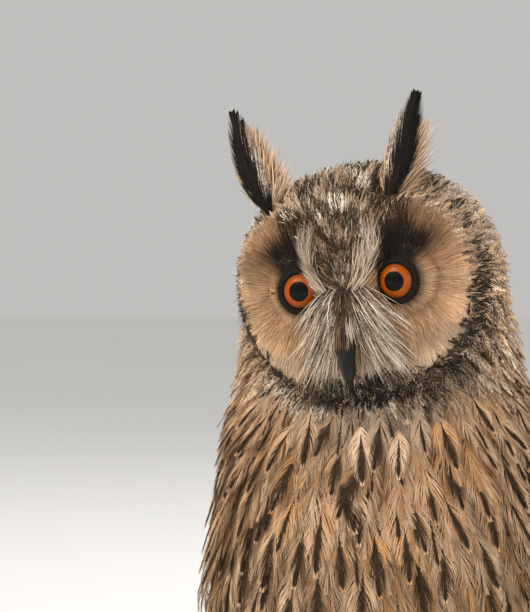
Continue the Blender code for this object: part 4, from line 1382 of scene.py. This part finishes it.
def tuft_hairs(side, edge, rng):
    """Loose curved hairs along one edge of a tuft, longest low down."""
    count, highest, (least, most), reach = TUFT_HAIRS[side, edge]
    up = rng.random(count) ** 1.3 * highest
    bow = tuft_bow(side, 0, up)
    height = TUFT_LENGTH * up
    shaft = np.stack([side * np.sin(bow) * height, (0.02 + 0.13 * up) * height, np.cos(bow) * height], 1)
    root = tuft_foot(side) + shaft
    root[:, 0] += edge * side * rng.uniform(2.0, 5.4, count) * np.interp(up, (0, 0.2, 0.7), (0.3, 1, 1.1))
    root[:, 1] += rng.uniform(1.5, 7.0, count)
    low = 1 - up / highest
    lean = TUFT_LEAN[side][0] + edge * (least + (most - least) * low * rng.uniform(0.2, 1.0, count))
    curl = edge * rng.normal(8, 16, count)
    length = reach * (0.45 + 0.55 * low**0.5) * rng.uniform(0.55, 1.25, count)
    turn, t = np.radians(lean), np.linspace(0, 1, 6)
    swing = turn[:, None] + np.radians(curl)[:, None] * t[None, :] ** 1.5
    step = np.stack([side * np.sin(swing), 0 * swing, np.cos(swing)], 2)
    step[:, :, 1] = rng.normal(0.16, 0.10, count)[:, None]
    line = np.cumsum(step, 1) - step
    line = root[:, None] + line * (length / (len(t) - 1))[:, None, None]
    pick = rng.random(count)
    tips = blended((0.46, 0.27, 0.14), (0.82, 0.62, 0.42), pick**1.6)
    tips = either(rng.random(count) < 0.14, np.array(DARK_BROWN) * 2, tips)
    sideways = np.tile(HEAD_TURN[:, 0], (count, 1))
    half_width = rng.uniform(0.12, 0.24, count)
    return Bristles(from_head(line), sideways, half_width, varied(tips * 0.62, rng), from_head(root), tips)


def tuft_vanes(side, rng):
    """Black feathers that stand up from a tuft's foot on the crown."""
    share, extra, half_width, back = np.array(TUFT_VANES).T[..., None]
    t = np.linspace(0, 1, 8)
    bow = tuft_bow(side, extra, t)
    level, ahead = 0 * bow, 0.02 + 0.13 * t + 0 * bow
    foot = tuft_foot(side) + np.stack([side * 0.11 * extra, back, 0 * back], 2)
    reach = (TUFT_LENGTH * share * t)[..., None]
    line = from_head(foot + np.stack([side * np.sin(bow), ahead, np.cos(bow)], 2) * reach)
    across = np.stack([side * np.cos(bow), level, -np.sin(bow)], 2) @ HEAD_TURN.T
    normal = np.broadcast_to(np.array([0, -1.0, 0.12]) @ HEAD_TURN.T, line.shape)
    tint = varied(np.tile(SOOT, (len(line), 1)), rng, 0.2)
    marks = np.tile([0, 0, 0, 0.5], (len(line), 1))
    return Feathers(line, normal, across, half_width[:, 0], tint, marks, line[:, 0])


def build_tufts(rng):
    black = plume_material("tuft_black", SOOT, (0.62, 0.50, 0.39), inner_fringe=0.21)
    hair = bristle_material("tuft_hair")
    for name, side in SIDES.items():
        pieces = [feather_piece(
            f"ear_tuft_{name}_black", tuft_vanes(side, rng), black, "ear_tuft", rng, 110,
            slant=16, blunt=0.5, curve_radius=12, fray=0.1, ragged=0.06, shaft=0.12, cover=2.0,
        )]
        for kind, edge in (("inner", -1), ("outer", 1)):
            hairs = tuft_hairs(side, edge, rng)
            pieces.append(bristle_piece(f"ear_tuft_{name}_{kind}", hairs, hair, rng))
        for piece in pieces:
            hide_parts("ear_tuft_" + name)


# Wings and tail


# Each tier is (name, vanes, root q, root phi, tip q, tip phi, half width, lift at root and tip, barbs),
# its places from the first vane to the last
WING_TIERS = (
    ("primaries", 9, (152, 140), (98, 134), (284, 224), (151, 118), 7.4, (0.8, 1.6), 120),
    ("secondaries", 11, (132, 126), (94, 148), (204, 226), (104, 160), 8.4, (1.3, 3.3), 90),
    ("greater_coverts", 10, (98, 92), (90, 150), (152, 160), (90, 160), 9.2, (1.6, 5.0), 70),
    ("median_coverts", 9, (66, 60), (94, 146), (110, 118), (91, 156), 9.2, (1.8, 6.4), 60),
    ("lesser_coverts", 8, (46, 40), (104, 138), (80, 88), (97, 150), 8.4, (1.8, 7.9), 50),
    ("shoulder", 7, (30, 28), (106, 146), (58, 66), (100, 156), 7.6, (2.2, 9.0), 44),
    ("scapulars", 6, (34, 46), (148, 172), (96, 134), (152, 172), 10.0, (1.5, 5.0), 66),
)
FLIGHT_TIERS = ("primaries", "secondaries")
FLIGHT_SHAPE = {"blunt": 0.5, "fray": 0.05, "ragged": 0.03, "shaft": 0.45}
COVERT_SHAPE = {"blunt": 0.42, "fray": 0.12, "ragged": 0.08, "shaft": 0.3}
# How far each vane lies above the next one back
SHINGLE_STEP = 1.5
# The wing's flesh is (q, first phi, last phi, thickness)
WING_CORE = (
    (36, 106, 126, 1.6), (42, 104, 128, 2.6), (52, 92, 142, 4.2), (68, 84, 151, 5.0), (90, 81, 157, 4.8),
    (115, 83, 160, 4.2), (140, 89, 160, 3.2), (160, 98, 158, 2.2), (174, 106, 152, 1.4),
)


def tier_feathers(tier, side, rng):
    """One tier's vanes on the cloak, tilted like shingles so that each clears the next one back."""
    name, count, root_q, root_phi, tip_q, tip_phi, half_width, lifts, _ = tier
    share = np.linspace(0, 1, count)[:, None]
    t = np.linspace(0, 1, 12)[None, :]
    towards_back = 1 if tip_phi[1] > tip_phi[0] else -1

    def between(ends, share):
        return ends[0] + (ends[1] - ends[0]) * share

    def path(share):
        q, phi = between(root_q, share), between(root_phi, share)
        q = q + (between(tip_q, share) - q) * t
        return q, phi + (between(tip_phi, share) - phi) * (1 - (1 - t) ** 1.3)

    q, phi = path(share)
    if name not in FLIGHT_TIERS:
        q = q + rng.normal(0, 3.2, (count, 1)) * t
    lift = (lifts[0] + (lifts[1] - lifts[0]) * ramp(t, 0, 0.4)) * (0.3 + 0.7 * ramp(phi, 92, 120))
    line, outward = cloak_point(q, phi, lift)
    beyond, _ = cloak_point(q, phi + 1, lift)
    across = flattened(beyond - line, outward)
    beside, _ = cloak_point(*path(share + towards_back / (count - 1)), lift)
    pitch = np.linalg.norm(beside - line, axis=-1, keepdims=True)
    slope = np.minimum(SHINGLE_STEP / pitch, 0.3) * towards_back
    normal = unit(outward + across * slope)
    across = unit(across - outward * slope)
    line = line + outward * rng.normal(0, 0.12, (count, 1, 1))
    mirror = np.array([side, 1, 1])
    width = half_width * rng.uniform(0.95, 1.05, count)
    return line * mirror, normal * mirror, across * mirror, width


def wing_flesh(side):
    """The fleshy pad of the folded wing on the side of the body."""
    rings = []
    for q, first, last, thick in WING_CORE:
        share = np.linspace(0, 1, 18)
        phi = first + (last - first) * share
        bulge = 0.35 + 0.65 * np.sin(math.pi * np.clip(share, 0.04, 0.96)) ** 0.6
        level = np.full(len(phi), float(q))
        outer, _ = cloak_point(level, phi, thick * bulge)
        inner, _ = cloak_point(level, phi[::-1], 0 * phi - 1.2)
        rings.append(np.concatenate([outer, inner]) * np.array([side, 1, 1]))
    if side < 0:
        rings = [ring[::-1] for ring in rings]
    return loft(rings, rings[0].mean(0), rings[-1].mean(0))


def tier_colour(name, count, rng):
    """(tint, marks) of a tier's vanes."""
    if name == "primaries":
        tint, marks = (0.40, 0.25, 0.135), marks_of(count, 0, 0.9, 0.15, rng)
    elif name == "secondaries":
        tint, marks = (0.30, 0.20, 0.125), marks_of(count, 0.05, 0.75, 0.2, rng)
    elif name == "scapulars":
        tint, marks = (0.32, 0.225, 0.15), marks_of(count, 0.18, 0.3, rng.uniform(0.3, 0.9, count), rng)
    else:
        tint, marks = (0.29, 0.20, 0.13), marks_of(count, 0.22, 0.35, rng.uniform(0.2, 0.9, count), rng)
    return varied(np.tile(np.array(tint), (count, 1)), rng, 0.2), marks


def build_wings(rng):
    flight = plume_material("flight_feather", DARK_BROWN, (0.58, 0.42, 0.28), bars=8, vermiculation=0.4)
    covert = plume_material("wing_covert", DARK_BROWN, (0.60, 0.46, 0.33), bars=4, vermiculation=0.75)
    down = skin_material()
    for name, side in SIDES.items():
        pieces = [flesh_piece("wing_flesh_" + name, *wing_flesh(side), (0.16, 0.11, 0.07), down)]
        for tier in WING_TIERS:
            line, normal, across, width = tier_feathers(tier, side, rng)
            tint, marks = tier_colour(tier[0], len(line), rng)
            feathers = Feathers(line, normal, across, width, tint, marks, line[:, 0])
            long = tier[0] in FLIGHT_TIERS
            pieces.append(feather_piece(
                f"wing_{tier[0]}_{name}", feathers, flight if long else covert, "flight_feathers", rng,
                tier[-1], slant=28, camber=0.02, cover=1.5, **(FLIGHT_SHAPE if long else COVERT_SHAPE),
            ))
        for piece in pieces:
            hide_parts("wing_" + name)


TAIL_PAIRS, TAIL_COVERTS = 6, 34
TAIL_FROM, TAIL_TO = 188.0, 282.0
TAIL_BACK = 7.0
TAIL_HALF_WIDTH = 9.8
TAIL_TILT = 0.12
# The tail's flesh is (q, half width, half thickness)
TAIL_CORE = ((176, 19, 8), (190, 19, 7.5), (202, 17, 6), (214, 13, 4.2), (224, 8, 2.2))


def tail_lines(rows):
    """Lines of tail feathers from rows of (x at root, x at tip, first q, last q, sink, tilt)."""
    rows = np.array(rows, float)
    t = np.linspace(0, 1, 10)[None, :]
    q = rows[:, 2:3] + (rows[:, 3:4] - rows[:, 2:3]) * t
    behind = -front_of(q)
    line = axis_point(q) + behind * (TAIL_BACK - rows[:, 4])[:, None, None]
    line[..., 0] += rows[:, 0:1] + (rows[:, 1:2] - rows[:, 0:1]) * t
    tilt = rows[:, 5][:, None, None]
    across = unit(np.array([1.0, 0, 0]) + behind * tilt)
    return line, unit(behind - np.array([1.0, 0, 0]) * tilt), across


def build_tail(rng):
    flight = plume_material("tail_feather", DARK_BROWN, (0.52, 0.38, 0.26), bars=9, vermiculation=0.35)
    covert = plume_material("tail_covert", DARK_BROWN, (0.64, 0.49, 0.34), bars=4, vermiculation=0.3)
    rings = []
    for q, wide, tall in TAIL_CORE:
        turn = np.linspace(0, math.tau, 32, endpoint=False)
        level = np.full(32, float(q))
        ring = axis_point(level) - front_of(level) * (TAIL_BACK - 3.2 + tall * np.sin(turn))[:, None]
        ring[:, 0] += wide * np.cos(turn)
        rings.append(ring[::-1])
    core = loft(rings, rings[0].mean(0), rings[-1].mean(0))
    pieces = [flesh_piece("tail_root", *core, (0.36, 0.23, 0.13), skin_material())]
    vanes = []
    for i in reversed(range(TAIL_PAIRS)):
        for side in (-1, 1):
            sink = 0.62 * i if i or side > 0 else -1.05
            tilt = side * TAIL_TILT if i else 0
            foot, tip = side * (1.2 + 2.1 * i), side * (2.6 + 3.1 * i)
            vanes.append((foot, tip, TAIL_FROM, TAIL_TO - 1.1 * i, sink, tilt))
    line, normal, across = tail_lines(vanes)
    count = len(vanes)
    tint = varied(np.tile([0.36, 0.245, 0.15], (count, 1)), rng, 0.08)
    marks = marks_of(count, 0.04, 0.85, 0.1, rng)
    feathers = Feathers(line, normal, across, np.full(count, TAIL_HALF_WIDTH), tint, marks, line[:, 0])
    pieces.append(feather_piece(
        "tail_vanes", feathers, flight, "flight_feathers", rng, 130,
        slant=30, blunt=0.4, camber=0.03, fray=0.05, ragged=0.03, shaft=0.5, cover=1.5,
    ))
    upper, under = [], []
    for _ in range(TAIL_COVERTS):
        x = rng.uniform(-19, 19)
        start = rng.uniform(164, 200)
        upper.append((x * 0.8, x, start, start + rng.uniform(26, 36), -4.8 - rng.uniform(0, 1.8), 0))
        under.append((x * 0.8, x * 1.05, start, start + rng.uniform(30, 44), 9.6 + rng.uniform(0, 2.2), 0))
    for name, rows, colour in (("upper", upper, (0.32, 0.22, 0.14)), ("under", under, (0.62, 0.41, 0.24))):
        line, normal, across = tail_lines(rows)
        if name == "under":
            normal, across = -normal, -across
        count = len(rows)
        tint = varied(np.tile(colour, (count, 1)), rng, 0.1)
        marks = marks_of(count, 0.10, 0.25 if name == "upper" else 0.0, 0.5, rng)
        width = rng.uniform(6.5, 8, count)
        feathers = Feathers(line, normal, across, width, tint, marks, line[:, 0])
        pieces.append(feather_piece(
            "tail_coverts_" + name, feathers, covert, "flight_feathers", rng, 44, cover=1.5,
        ))
    for piece in pieces:
        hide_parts("tail")


# Eyes, beak and claws


BEAK_WIDTH, BEAK_DEPTH, BEAK_TIP_SHARE = 4.5, 6.2, 0.3
BEAK_PATH = ((-22, -13), (-31, -14.5), (-36.5, -18.5), (-39, -24.5), (-38.8, -30), (-37.2, -35))
LOWER_BEAK_PATH = ((-20, -24), (-29, -26.5), (-33.5, -29), (-35.2, -32.4))
CLAW_LENGTH, CLAW_RADIUS = 12.5, 1.9


def gaze_axes(side):
    """The line of sight of one eye, and the ways across it and up."""
    splay = math.radians(EYE_SPLAY)
    ahead = np.array([side * math.sin(splay), -math.cos(splay), 0])
    across = unit(np.cross(ahead, [0, 0, 1.0]))
    return ahead, across, np.cross(across, ahead)


def turned_profile(side, profile, columns):
    """Rings round the line of sight from (radius, how far ahead of the eye's centre) pairs."""
    ahead, across, over = gaze_axes(side)
    turn = np.linspace(0, math.tau, columns, endpoint=False)[:, None]
    round_it = across * np.cos(turn) + over * np.sin(turn)
    return [from_head(eye_centre(side) + ahead * rise + round_it * radius) for radius, rise in profile]


def iris_material():
    """A deep orange iris with darker fibres and rim, a black pupil and a wet clear coat."""
    sheet = Sheet("eye_iris", 0.4, specular=0.08, coat=0.2)
    radius, x, y = sheet.parts(sheet.attribute("iris"))
    spoke = sheet.node("ShaderNodeCombineXYZ", inputs={0: x * 9, 1: y * 9, 2: radius * 2.5})
    fibres = sheet.noise(3.0, 5.0, spoke)
    orange = tuple(settings().iris_colour)
    colour = sheet.mix(sheet.step(fibres, 0.35, 0.7), tuple(0.55 * c for c in orange), orange)
    warm = sheet.step(radius, 5.6, 4.2)
    colour = sheet.mix(warm * 0.35, colour, (0.42, 0.085, 0.004))
    rim = sheet.step(radius, IRIS_RADIUS - 0.7, IRIS_RADIUS + 0.1)
    colour = sheet.mix(rim, colour, (0.03, 0.008, 0.003))
    pupil = sheet.step(radius, PUPIL_RADIUS + 0.16, PUPIL_RADIUS - 0.1)
    colour = sheet.mix(pupil, colour, (0.001, 0.001, 0.001))
    sheet.feed("Base Color", colour)
    return sheet.material


def build_eyes():
    iris = iris_material()
    lid = Sheet("eye_lid", 0.7, specular=0.06)
    wrinkles = lid.noise(900, 4.0)
    lid.feed("Base Color", lid.mix(wrinkles, (0.003, 0.0025, 0.002), (0.012, 0.009, 0.007)))
    lid.bump(wrinkles, 0.3, 0.0002)
    for name, side in SIDES.items():
        profile = []
        for angle in np.radians(np.linspace(2, 178, 64)):
            reach = EYE_RADIUS * (1.0 + CORNEA * ramp(np.degrees(angle), 48, 20))
            profile.append((reach * math.sin(angle), reach * math.cos(angle)))
        rings = turned_profile(side, profile, 64)
        ahead, across, over = gaze_axes(side)
        front = from_head(eye_centre(side) + ahead * EYE_RADIUS * (1.0 + CORNEA))
        back = from_head(eye_centre(side) - ahead * EYE_RADIUS)
        points, triangles = loft(rings[::-1], back, front)
        local = to_head(points) - eye_centre(side)
        x, y = local @ across, local @ over
        reach = np.hypot(x, y)
        radius = np.where(local @ ahead > 0, reach, 20)
        unit_reach = np.maximum(reach, 0.01)
        iris_place = np.stack([radius, x / unit_reach, y / unit_reach, 1 + 0 * x], 1)
        ball = mesh_piece("eyeball_" + name, points, triangles, iris, (), [("iris", iris_place)])
        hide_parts("eye_" + name)
        rings = turned_profile(side, LID_PROFILE, 72)
        points, triangles = loft(rings[::-1])
        ring = mesh_piece("eye_lid_" + name, points, triangles, lid.material)
        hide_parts("eye_" + name)


def smooth_path(path, count):
    """Points at even steps on a smooth curve through a path."""
    path = np.array(path, float)
    padded = np.concatenate([[2 * path[0] - path[1]], path, [2 * path[-1] - path[-2]]])
    found = []
    for s in np.linspace(0, len(path) - 1, count):
        i = min(int(s), len(path) - 2)
        t = s - i
        a, b, c, d = padded[i:i + 4]
        square, cube = 2 * a - 5 * b + 4 * c - d, 3 * b - a - 3 * c + d
        found.append(0.5 * (2 * b + (c - a) * t + square * t**2 + cube * t**3))
    return np.array(found)


def beak_half(path, width, depth, ridge):
    """Half of the beak along a path in the head's middle plane, keeled on its outer side."""
    centres = smooth_path(path, 30)
    rings = []
    turn = np.linspace(0, math.tau, 28, endpoint=False)
    for i, centre in enumerate(centres[:-1]):
        t = i / (len(centres) - 1)
        along = unit(centres[i + 1] - centres[max(i - 1, 0)])
        taper = (1 - t**1.7) * (1 - BEAK_TIP_SHARE) + BEAK_TIP_SHARE
        taper = taper * min(1.0, ((1 - t) / 0.12) ** 0.5)
        over = np.array([0, along[1], -along[0]])
        keel = 1 + ridge * np.maximum(np.sin(turn), 0) ** 6
        wide = width * taper * np.cos(turn) * (1 - 0.22 * np.maximum(np.sin(turn), 0))
        ring = np.stack([wide, centre[0] + 0 * turn, centre[1] + 0 * turn], 1)
        ring = ring + over * (depth * taper * np.sin(turn) * keel)[:, None]
        rings.append(from_head(ring))
    return facing_out(*loft(rings, rings[0].mean(0), from_head([0, *centres[-1]])))


def horn_material(name, dark, light, shine):
    """Horn with fine grain, paler where it is thin and worn."""
    sheet = Sheet(name, shine, specular=0.22)
    grain = sheet.noise(350, 5.0, stretch=(1, 1, 0.25))
    sheet.feed("Base Color", sheet.mix(sheet.step(grain, 0.35, 0.75), dark, light))
    sheet.feed("Roughness", shine - 0.08 + grain * 0.2)
    sheet.bump(grain, 0.25, 0.0002)
    return sheet.material


def facing_out(points, triangles):
    """Turns triangles round where the closed shape that they make is inside out."""
    a, b, c = (points[triangles[:, k]] - points.mean(0) for k in range(3))
    volume = (a * np.cross(b, c)).sum()
    return (points, triangles) if volume > 0 else (points, triangles[:, ::-1])


def build_beak():
    horn = horn_material("beak_horn", (0.004, 0.0035, 0.003), (0.018, 0.015, 0.012), 0.45)
    upper = beak_half(BEAK_PATH, BEAK_WIDTH, BEAK_DEPTH * 0.94, 0.10)
    lower = beak_half(LOWER_BEAK_PATH, BEAK_WIDTH * 0.75, BEAK_DEPTH * 0.5, 0.0)
    for name, (points, triangles) in (("upper", upper), ("lower", lower)):
        half = mesh_piece("beak_horn_" + name, points, triangles, horn)
        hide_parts("beak_" + name)


def claw(foot, toe, side):
    """A talon from the end of a toe, bent down to just above the floor."""
    angle, length = TOES[toe]
    turn = math.radians(angle)
    along = np.array([side * math.sin(turn), -math.cos(turn), 0])
    across = np.array([along[1], -along[0], 0])
    place = foot + along * (length - 1.0) + np.array([0, 0, 4.0])
    rings = []
    steps = 14
    around = np.linspace(0, math.tau, 14, endpoint=False)[:, None]
    for i in range(steps):
        t = i / steps
        sweep = math.radians(20 - 95 * t)
        way = along * math.cos(sweep) + np.array([0, 0, math.sin(sweep)])
        if i:
            place = place + way * CLAW_LENGTH / steps
        over = np.cross(way, across)
        radius = CLAW_RADIUS * (1 - 0.86 * t**1.15)
        ring = place + (across * np.cos(around) + over * np.sin(around) * 1.12) * radius
        ring[:, 2] = np.maximum(ring[:, 2], CLAW_GAP)
        rings.append(ring)
    tip = place + along * 0.6 + np.array([0, 0, -0.9])
    tip[2] = max(tip[2], CLAW_GAP)
    return facing_out(*loft(rings, rings[0].mean(0), tip))


def build_claws():
    horn = horn_material("claw_horn", (0.010, 0.009, 0.009), (0.06, 0.05, 0.042), 0.3)
    for name, side in SIDES.items():
        points, triangles = joined([claw(foot_middle(side), toe, side) for toe in TOES])
        piece = mesh_piece("claws_" + name, points, triangles, horn)
        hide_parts(*(f"claw_{name}_{toe}" for toe in TOES))


# Stage


CAMERA_AZIMUTH, CAMERA_ELEVATION, CAMERA_DISTANCE = 15.0, 2.0, 1500.0
# How far the middle of the frame lies to the left of the middle of the eyes and below it
AIM_LEFT, AIM_DOWN = 29.1, 7.0
FRAME_HEIGHT, PIXELS_TO_RADIAN, FILM = 612, 4200, 36.0


def build_camera():
    azimuth, elevation = math.radians(CAMERA_AZIMUTH), math.radians(CAMERA_ELEVATION)
    right = np.array([math.cos(azimuth), math.sin(azimuth), 0])
    level = np.array([math.sin(azimuth), -math.cos(azimuth), 0])
    back = level * math.cos(elevation) + np.array([0, 0, math.sin(elevation)])
    up = np.cross(back, right)
    aim = from_head([0, -28.0, 0]) - right * AIM_LEFT - up * AIM_DOWN
    data = bpy.data.cameras.new("camera")
    data.sensor_fit = "VERTICAL"
    data.sensor_height = FILM
    data.lens = FILM * PIXELS_TO_RADIAN / FRAME_HEIGHT
    camera = bpy.data.objects.new("camera", data)
    bpy.context.scene.collection.objects.link(camera)
    camera.location = Vector((aim + back * CAMERA_DISTANCE) * MM)
    camera.rotation_euler = Vector(-back).to_track_quat("-Z", "Y").to_euler()
    bpy.context.scene.camera = camera


def soft_light(name, place, target, size, power, colour):
    data = bpy.data.lights.new(name, "AREA")
    data.shape = "DISK"
    data.size = size
    data.energy = power
    data.color = colour
    lamp = bpy.data.objects.new(name, data)
    bpy.context.scene.collection.objects.link(lamp)
    lamp.location = Vector(place)
    lamp.rotation_euler = (Vector(target) - Vector(place)).to_track_quat("-Z", "Y").to_euler()


def build_stage():
    sheet = Sheet("pale_floor", 0.8, specular=0.2)
    pale = tuple(settings().floor_colour)
    cloud = sheet.noise(3.0, 4.0)
    sheet.feed("Base Color", sheet.mix(cloud, tuple(0.96 * c for c in pale), pale))
    sheet.bump(sheet.noise(500, 2.0), 0.05, 0.0005)
    bpy.ops.object.select_all(action="DESELECT")
    bpy.ops.mesh.primitive_circle_add(vertices=96, radius=6.0, fill_type="NGON", location=(0, 0, 0))
    floor = bpy.context.object
    floor.name = "floor"
    floor.data.materials.append(sheet.material)
    world = bpy.data.worlds.new("pale_room")
    bpy.context.scene.world = world
    world.use_nodes = True
    background = world.node_tree.nodes["Background"]
    background.inputs["Color"].default_value = (0.85, 0.84, 0.82, 1)
    background.inputs["Strength"].default_value = 0.62
    target = (0, -0.05, 0.2)
    soft_light("key", (-0.9, -1.5, 1.7), target, 1.3, 44, (1.0, 0.96, 0.90))
    soft_light("fill", (1.5, -1.2, 0.7), target, 1.4, 12, (0.97, 0.98, 1.0))
    soft_light("back", (0.4, 1.6, 1.5), target, 1.2, 16, (1.0, 0.99, 0.97))
    bpy.context.scene.view_settings.view_transform = "Standard"
    build_camera()


# Operators


def made_skin():
    """The finished skin, for the pieces that grow out of it."""
    skin = bpy.data.objects.get("skin")
    if skin is None:
        raise RuntimeError("The skin has to be built first")
    return Skin(skin)


def rng_for(piece):
    """The random draws of one piece, the same each time it is built."""
    return np.random.default_rng([settings().seed, *piece.encode()])


class OWL_OT_skin(bpy.types.Operator):
    """Build the skin of the head, body and legs"""

    bl_idname = "owl.skin"
    bl_label = "Skin"

    def execute(self, context):
        build_skin()
        return {"FINISHED"}


class OWL_OT_body_plumage(bpy.types.Operator):
    """Grow both layers of feathers on the breast, belly, flanks and back"""

    bl_idname = "owl.body_plumage"
    bl_label = "Body Plumage"

    def execute(self, context):
        skin = made_skin()
        rng = rng_for("body")
        streak = tuple(settings().streak_colour)
        plain = plume_material("body_under", streak, CREAM, vermiculation=0.15)
        front = plume_material("breast_outer", streak, CREAM, bars=4)
        back = plume_material("back_outer", streak, CREAM, bars=4, vermiculation=0.7)
        under = under_plumage(skin, rng)
        outer = outer_plumage(skin, rng)
        for name, feathers, material, barbs in (
            ("under_front", under.part(~back_part(under)), plain, 40),
            ("under_back", under.part(back_part(under)), plain, 40),
            ("outer_front", outer.part(~back_part(outer)), front, 56),
            ("outer_back", outer.part(back_part(outer)), back, 56),
            ("flanks", flank_plumage(rng), front, 50),
        ):
            feather_piece(
                "plumage_" + name, feathers, material, "plumage", rng, barbs,
                slant=29, fray=0.35, bent=material != plain,
            )
        return {"FINISHED"}


class OWL_OT_leg_plumage(bpy.types.Operator):
    """Grow the short feathers of the legs and toes"""

    bl_idname = "owl.leg_plumage"
    bl_label = "Leg Plumage"

    def execute(self, context):
        rng = rng_for("legs")
        material = plume_material("leg_down", DARK_BROWN, CREAM)
        feathers = leg_plumage(made_skin(), rng)
        feather_piece("plumage_legs", feathers, material, "leg_plumage", rng, 6, shaft=0)
        return {"FINISHED"}


class OWL_OT_crown(bpy.types.Operator):
    """Grow the mottled feathers of the crown, nape and sides of the head"""

    bl_idname = "owl.crown"
    bl_label = "Crown"

    def execute(self, context):
        rng = rng_for("crown")
        material = plume_material("crown_mottled", DARK_BROWN, CREAM, vermiculation=0.55)
        skin = made_skin()
        feathers = crown_plumage(skin, rng)
        behind = to_head(feathers.roots)[:, 1] > 2
        for name, chosen in (("crown_front", ~behind), ("crown_back", behind)):
            feather_piece(name, feathers.part(chosen), material, "plumage", rng, 12, camber=0.15, bent=False)
        bristle = bristle_material("crown_bristle")
        bristle_piece("crown_tips", crown_tips(skin, rng), bristle, rng)
        return {"FINISHED"}


class OWL_OT_face(bpy.types.Operator):
    """Grow the facial disc's bristles, its dark rim and the band under the chin"""

    bl_idname = "owl.face"
    bl_label = "Face"

    def execute(self, context):
        skin = made_skin()
        rng = rng_for("face")
        bristle = bristle_material("face_bristle")
        for name, side in SIDES.items():
            for piece, bristles in (
                ("face_disc_", face_bristles(skin, side, rng)),
                ("eye_surround_", orbit_bristles(skin, side, rng)),
                ("beak_whiskers_", beak_whiskers(skin, side, rng)),
            ):
                bristle_piece(piece + name, bristles, bristle, rng)
        bristle_piece("beak_ridge_hairs", ridge_hairs(rng), bristle, rng)
        ruff = plume_material("rim_black", SOOT, CREAM)
        for name, plumage in (("face_rim", ruff_plumage), ("throat_band", throat_plumage)):
            feather_piece(
                name, plumage(skin, rng), ruff, "plumage", rng, 9, curve_radius=20, bent=False,
            )
        return {"FINISHED"}


class OWL_OT_ear_tufts(bpy.types.Operator):
    """Grow both ear tufts"""

    bl_idname = "owl.ear_tufts"
    bl_label = "Ear Tufts"

    def execute(self, context):
        build_tufts(rng_for("tufts"))
        return {"FINISHED"}


class OWL_OT_wings(bpy.types.Operator):
    """Grow both folded wings"""

    bl_idname = "owl.wings"
    bl_label = "Wings"

    def execute(self, context):
        build_wings(rng_for("wings"))
        return {"FINISHED"}


class OWL_OT_tail(bpy.types.Operator):
    """Grow the tail and its coverts"""

    bl_idname = "owl.tail"
    bl_label = "Tail"

    def execute(self, context):
        build_tail(rng_for("tail"))
        return {"FINISHED"}


class OWL_OT_eyes(bpy.types.Operator):
    """Build the eyes and their lids"""

    bl_idname = "owl.eyes"
    bl_label = "Eyes"

    def execute(self, context):
        build_eyes()
        return {"FINISHED"}


class OWL_OT_beak(bpy.types.Operator):
    """Build both halves of the beak"""

    bl_idname = "owl.beak"
    bl_label = "Beak"

    def execute(self, context):
        build_beak()
        return {"FINISHED"}


class OWL_OT_claws(bpy.types.Operator):
    """Build the claws of both feet"""

    bl_idname = "owl.claws"
    bl_label = "Claws"

    def execute(self, context):
        build_claws()
        return {"FINISHED"}


class OWL_OT_stage(bpy.types.Operator):
    """Lay the floor and set the lights and the camera"""

    bl_idname = "owl.stage"
    bl_label = "Stage"

    def execute(self, context):
        build_stage()
        return {"FINISHED"}


OPERATORS = (
    OWL_OT_skin, OWL_OT_body_plumage, OWL_OT_leg_plumage, OWL_OT_crown, OWL_OT_face, OWL_OT_ear_tufts,
    OWL_OT_wings, OWL_OT_tail, OWL_OT_eyes, OWL_OT_beak, OWL_OT_claws, OWL_OT_stage,
)


class OWL_PT_panel(bpy.types.Panel):
    bl_label = "Long-Eared Owl"
    bl_space_type = "VIEW_3D"
    bl_region_type = "UI"
    bl_category = "Owl"

    def draw(self, context):
        for name in OwlSettings.__annotations__:
            self.layout.prop(settings(), name)
        for operator in OPERATORS:
            self.layout.operator(operator.bl_idname)


CLASSES = (OwlSettings, *OPERATORS, OWL_PT_panel)


def register():
    for cls in CLASSES:
        bpy.utils.register_class(cls)
    bpy.types.Scene.owl_settings = PointerProperty(type=OwlSettings)


def unregister():
    del bpy.types.Scene.owl_settings
    for cls in reversed(CLASSES):
        bpy.utils.unregister_class(cls)


def main():
    register()
    bpy.ops.owl.stage()
    bpy.ops.owl.skin()
    bpy.ops.owl.body_plumage()
    bpy.ops.owl.leg_plumage()
    bpy.ops.owl.crown()
    bpy.ops.owl.face()
    bpy.ops.owl.ear_tufts()
    bpy.ops.owl.wings()
    bpy.ops.owl.tail()
    bpy.ops.owl.eyes()
    bpy.ops.owl.beak()
    bpy.ops.owl.claws()


if __name__ == "__main__":
    main()
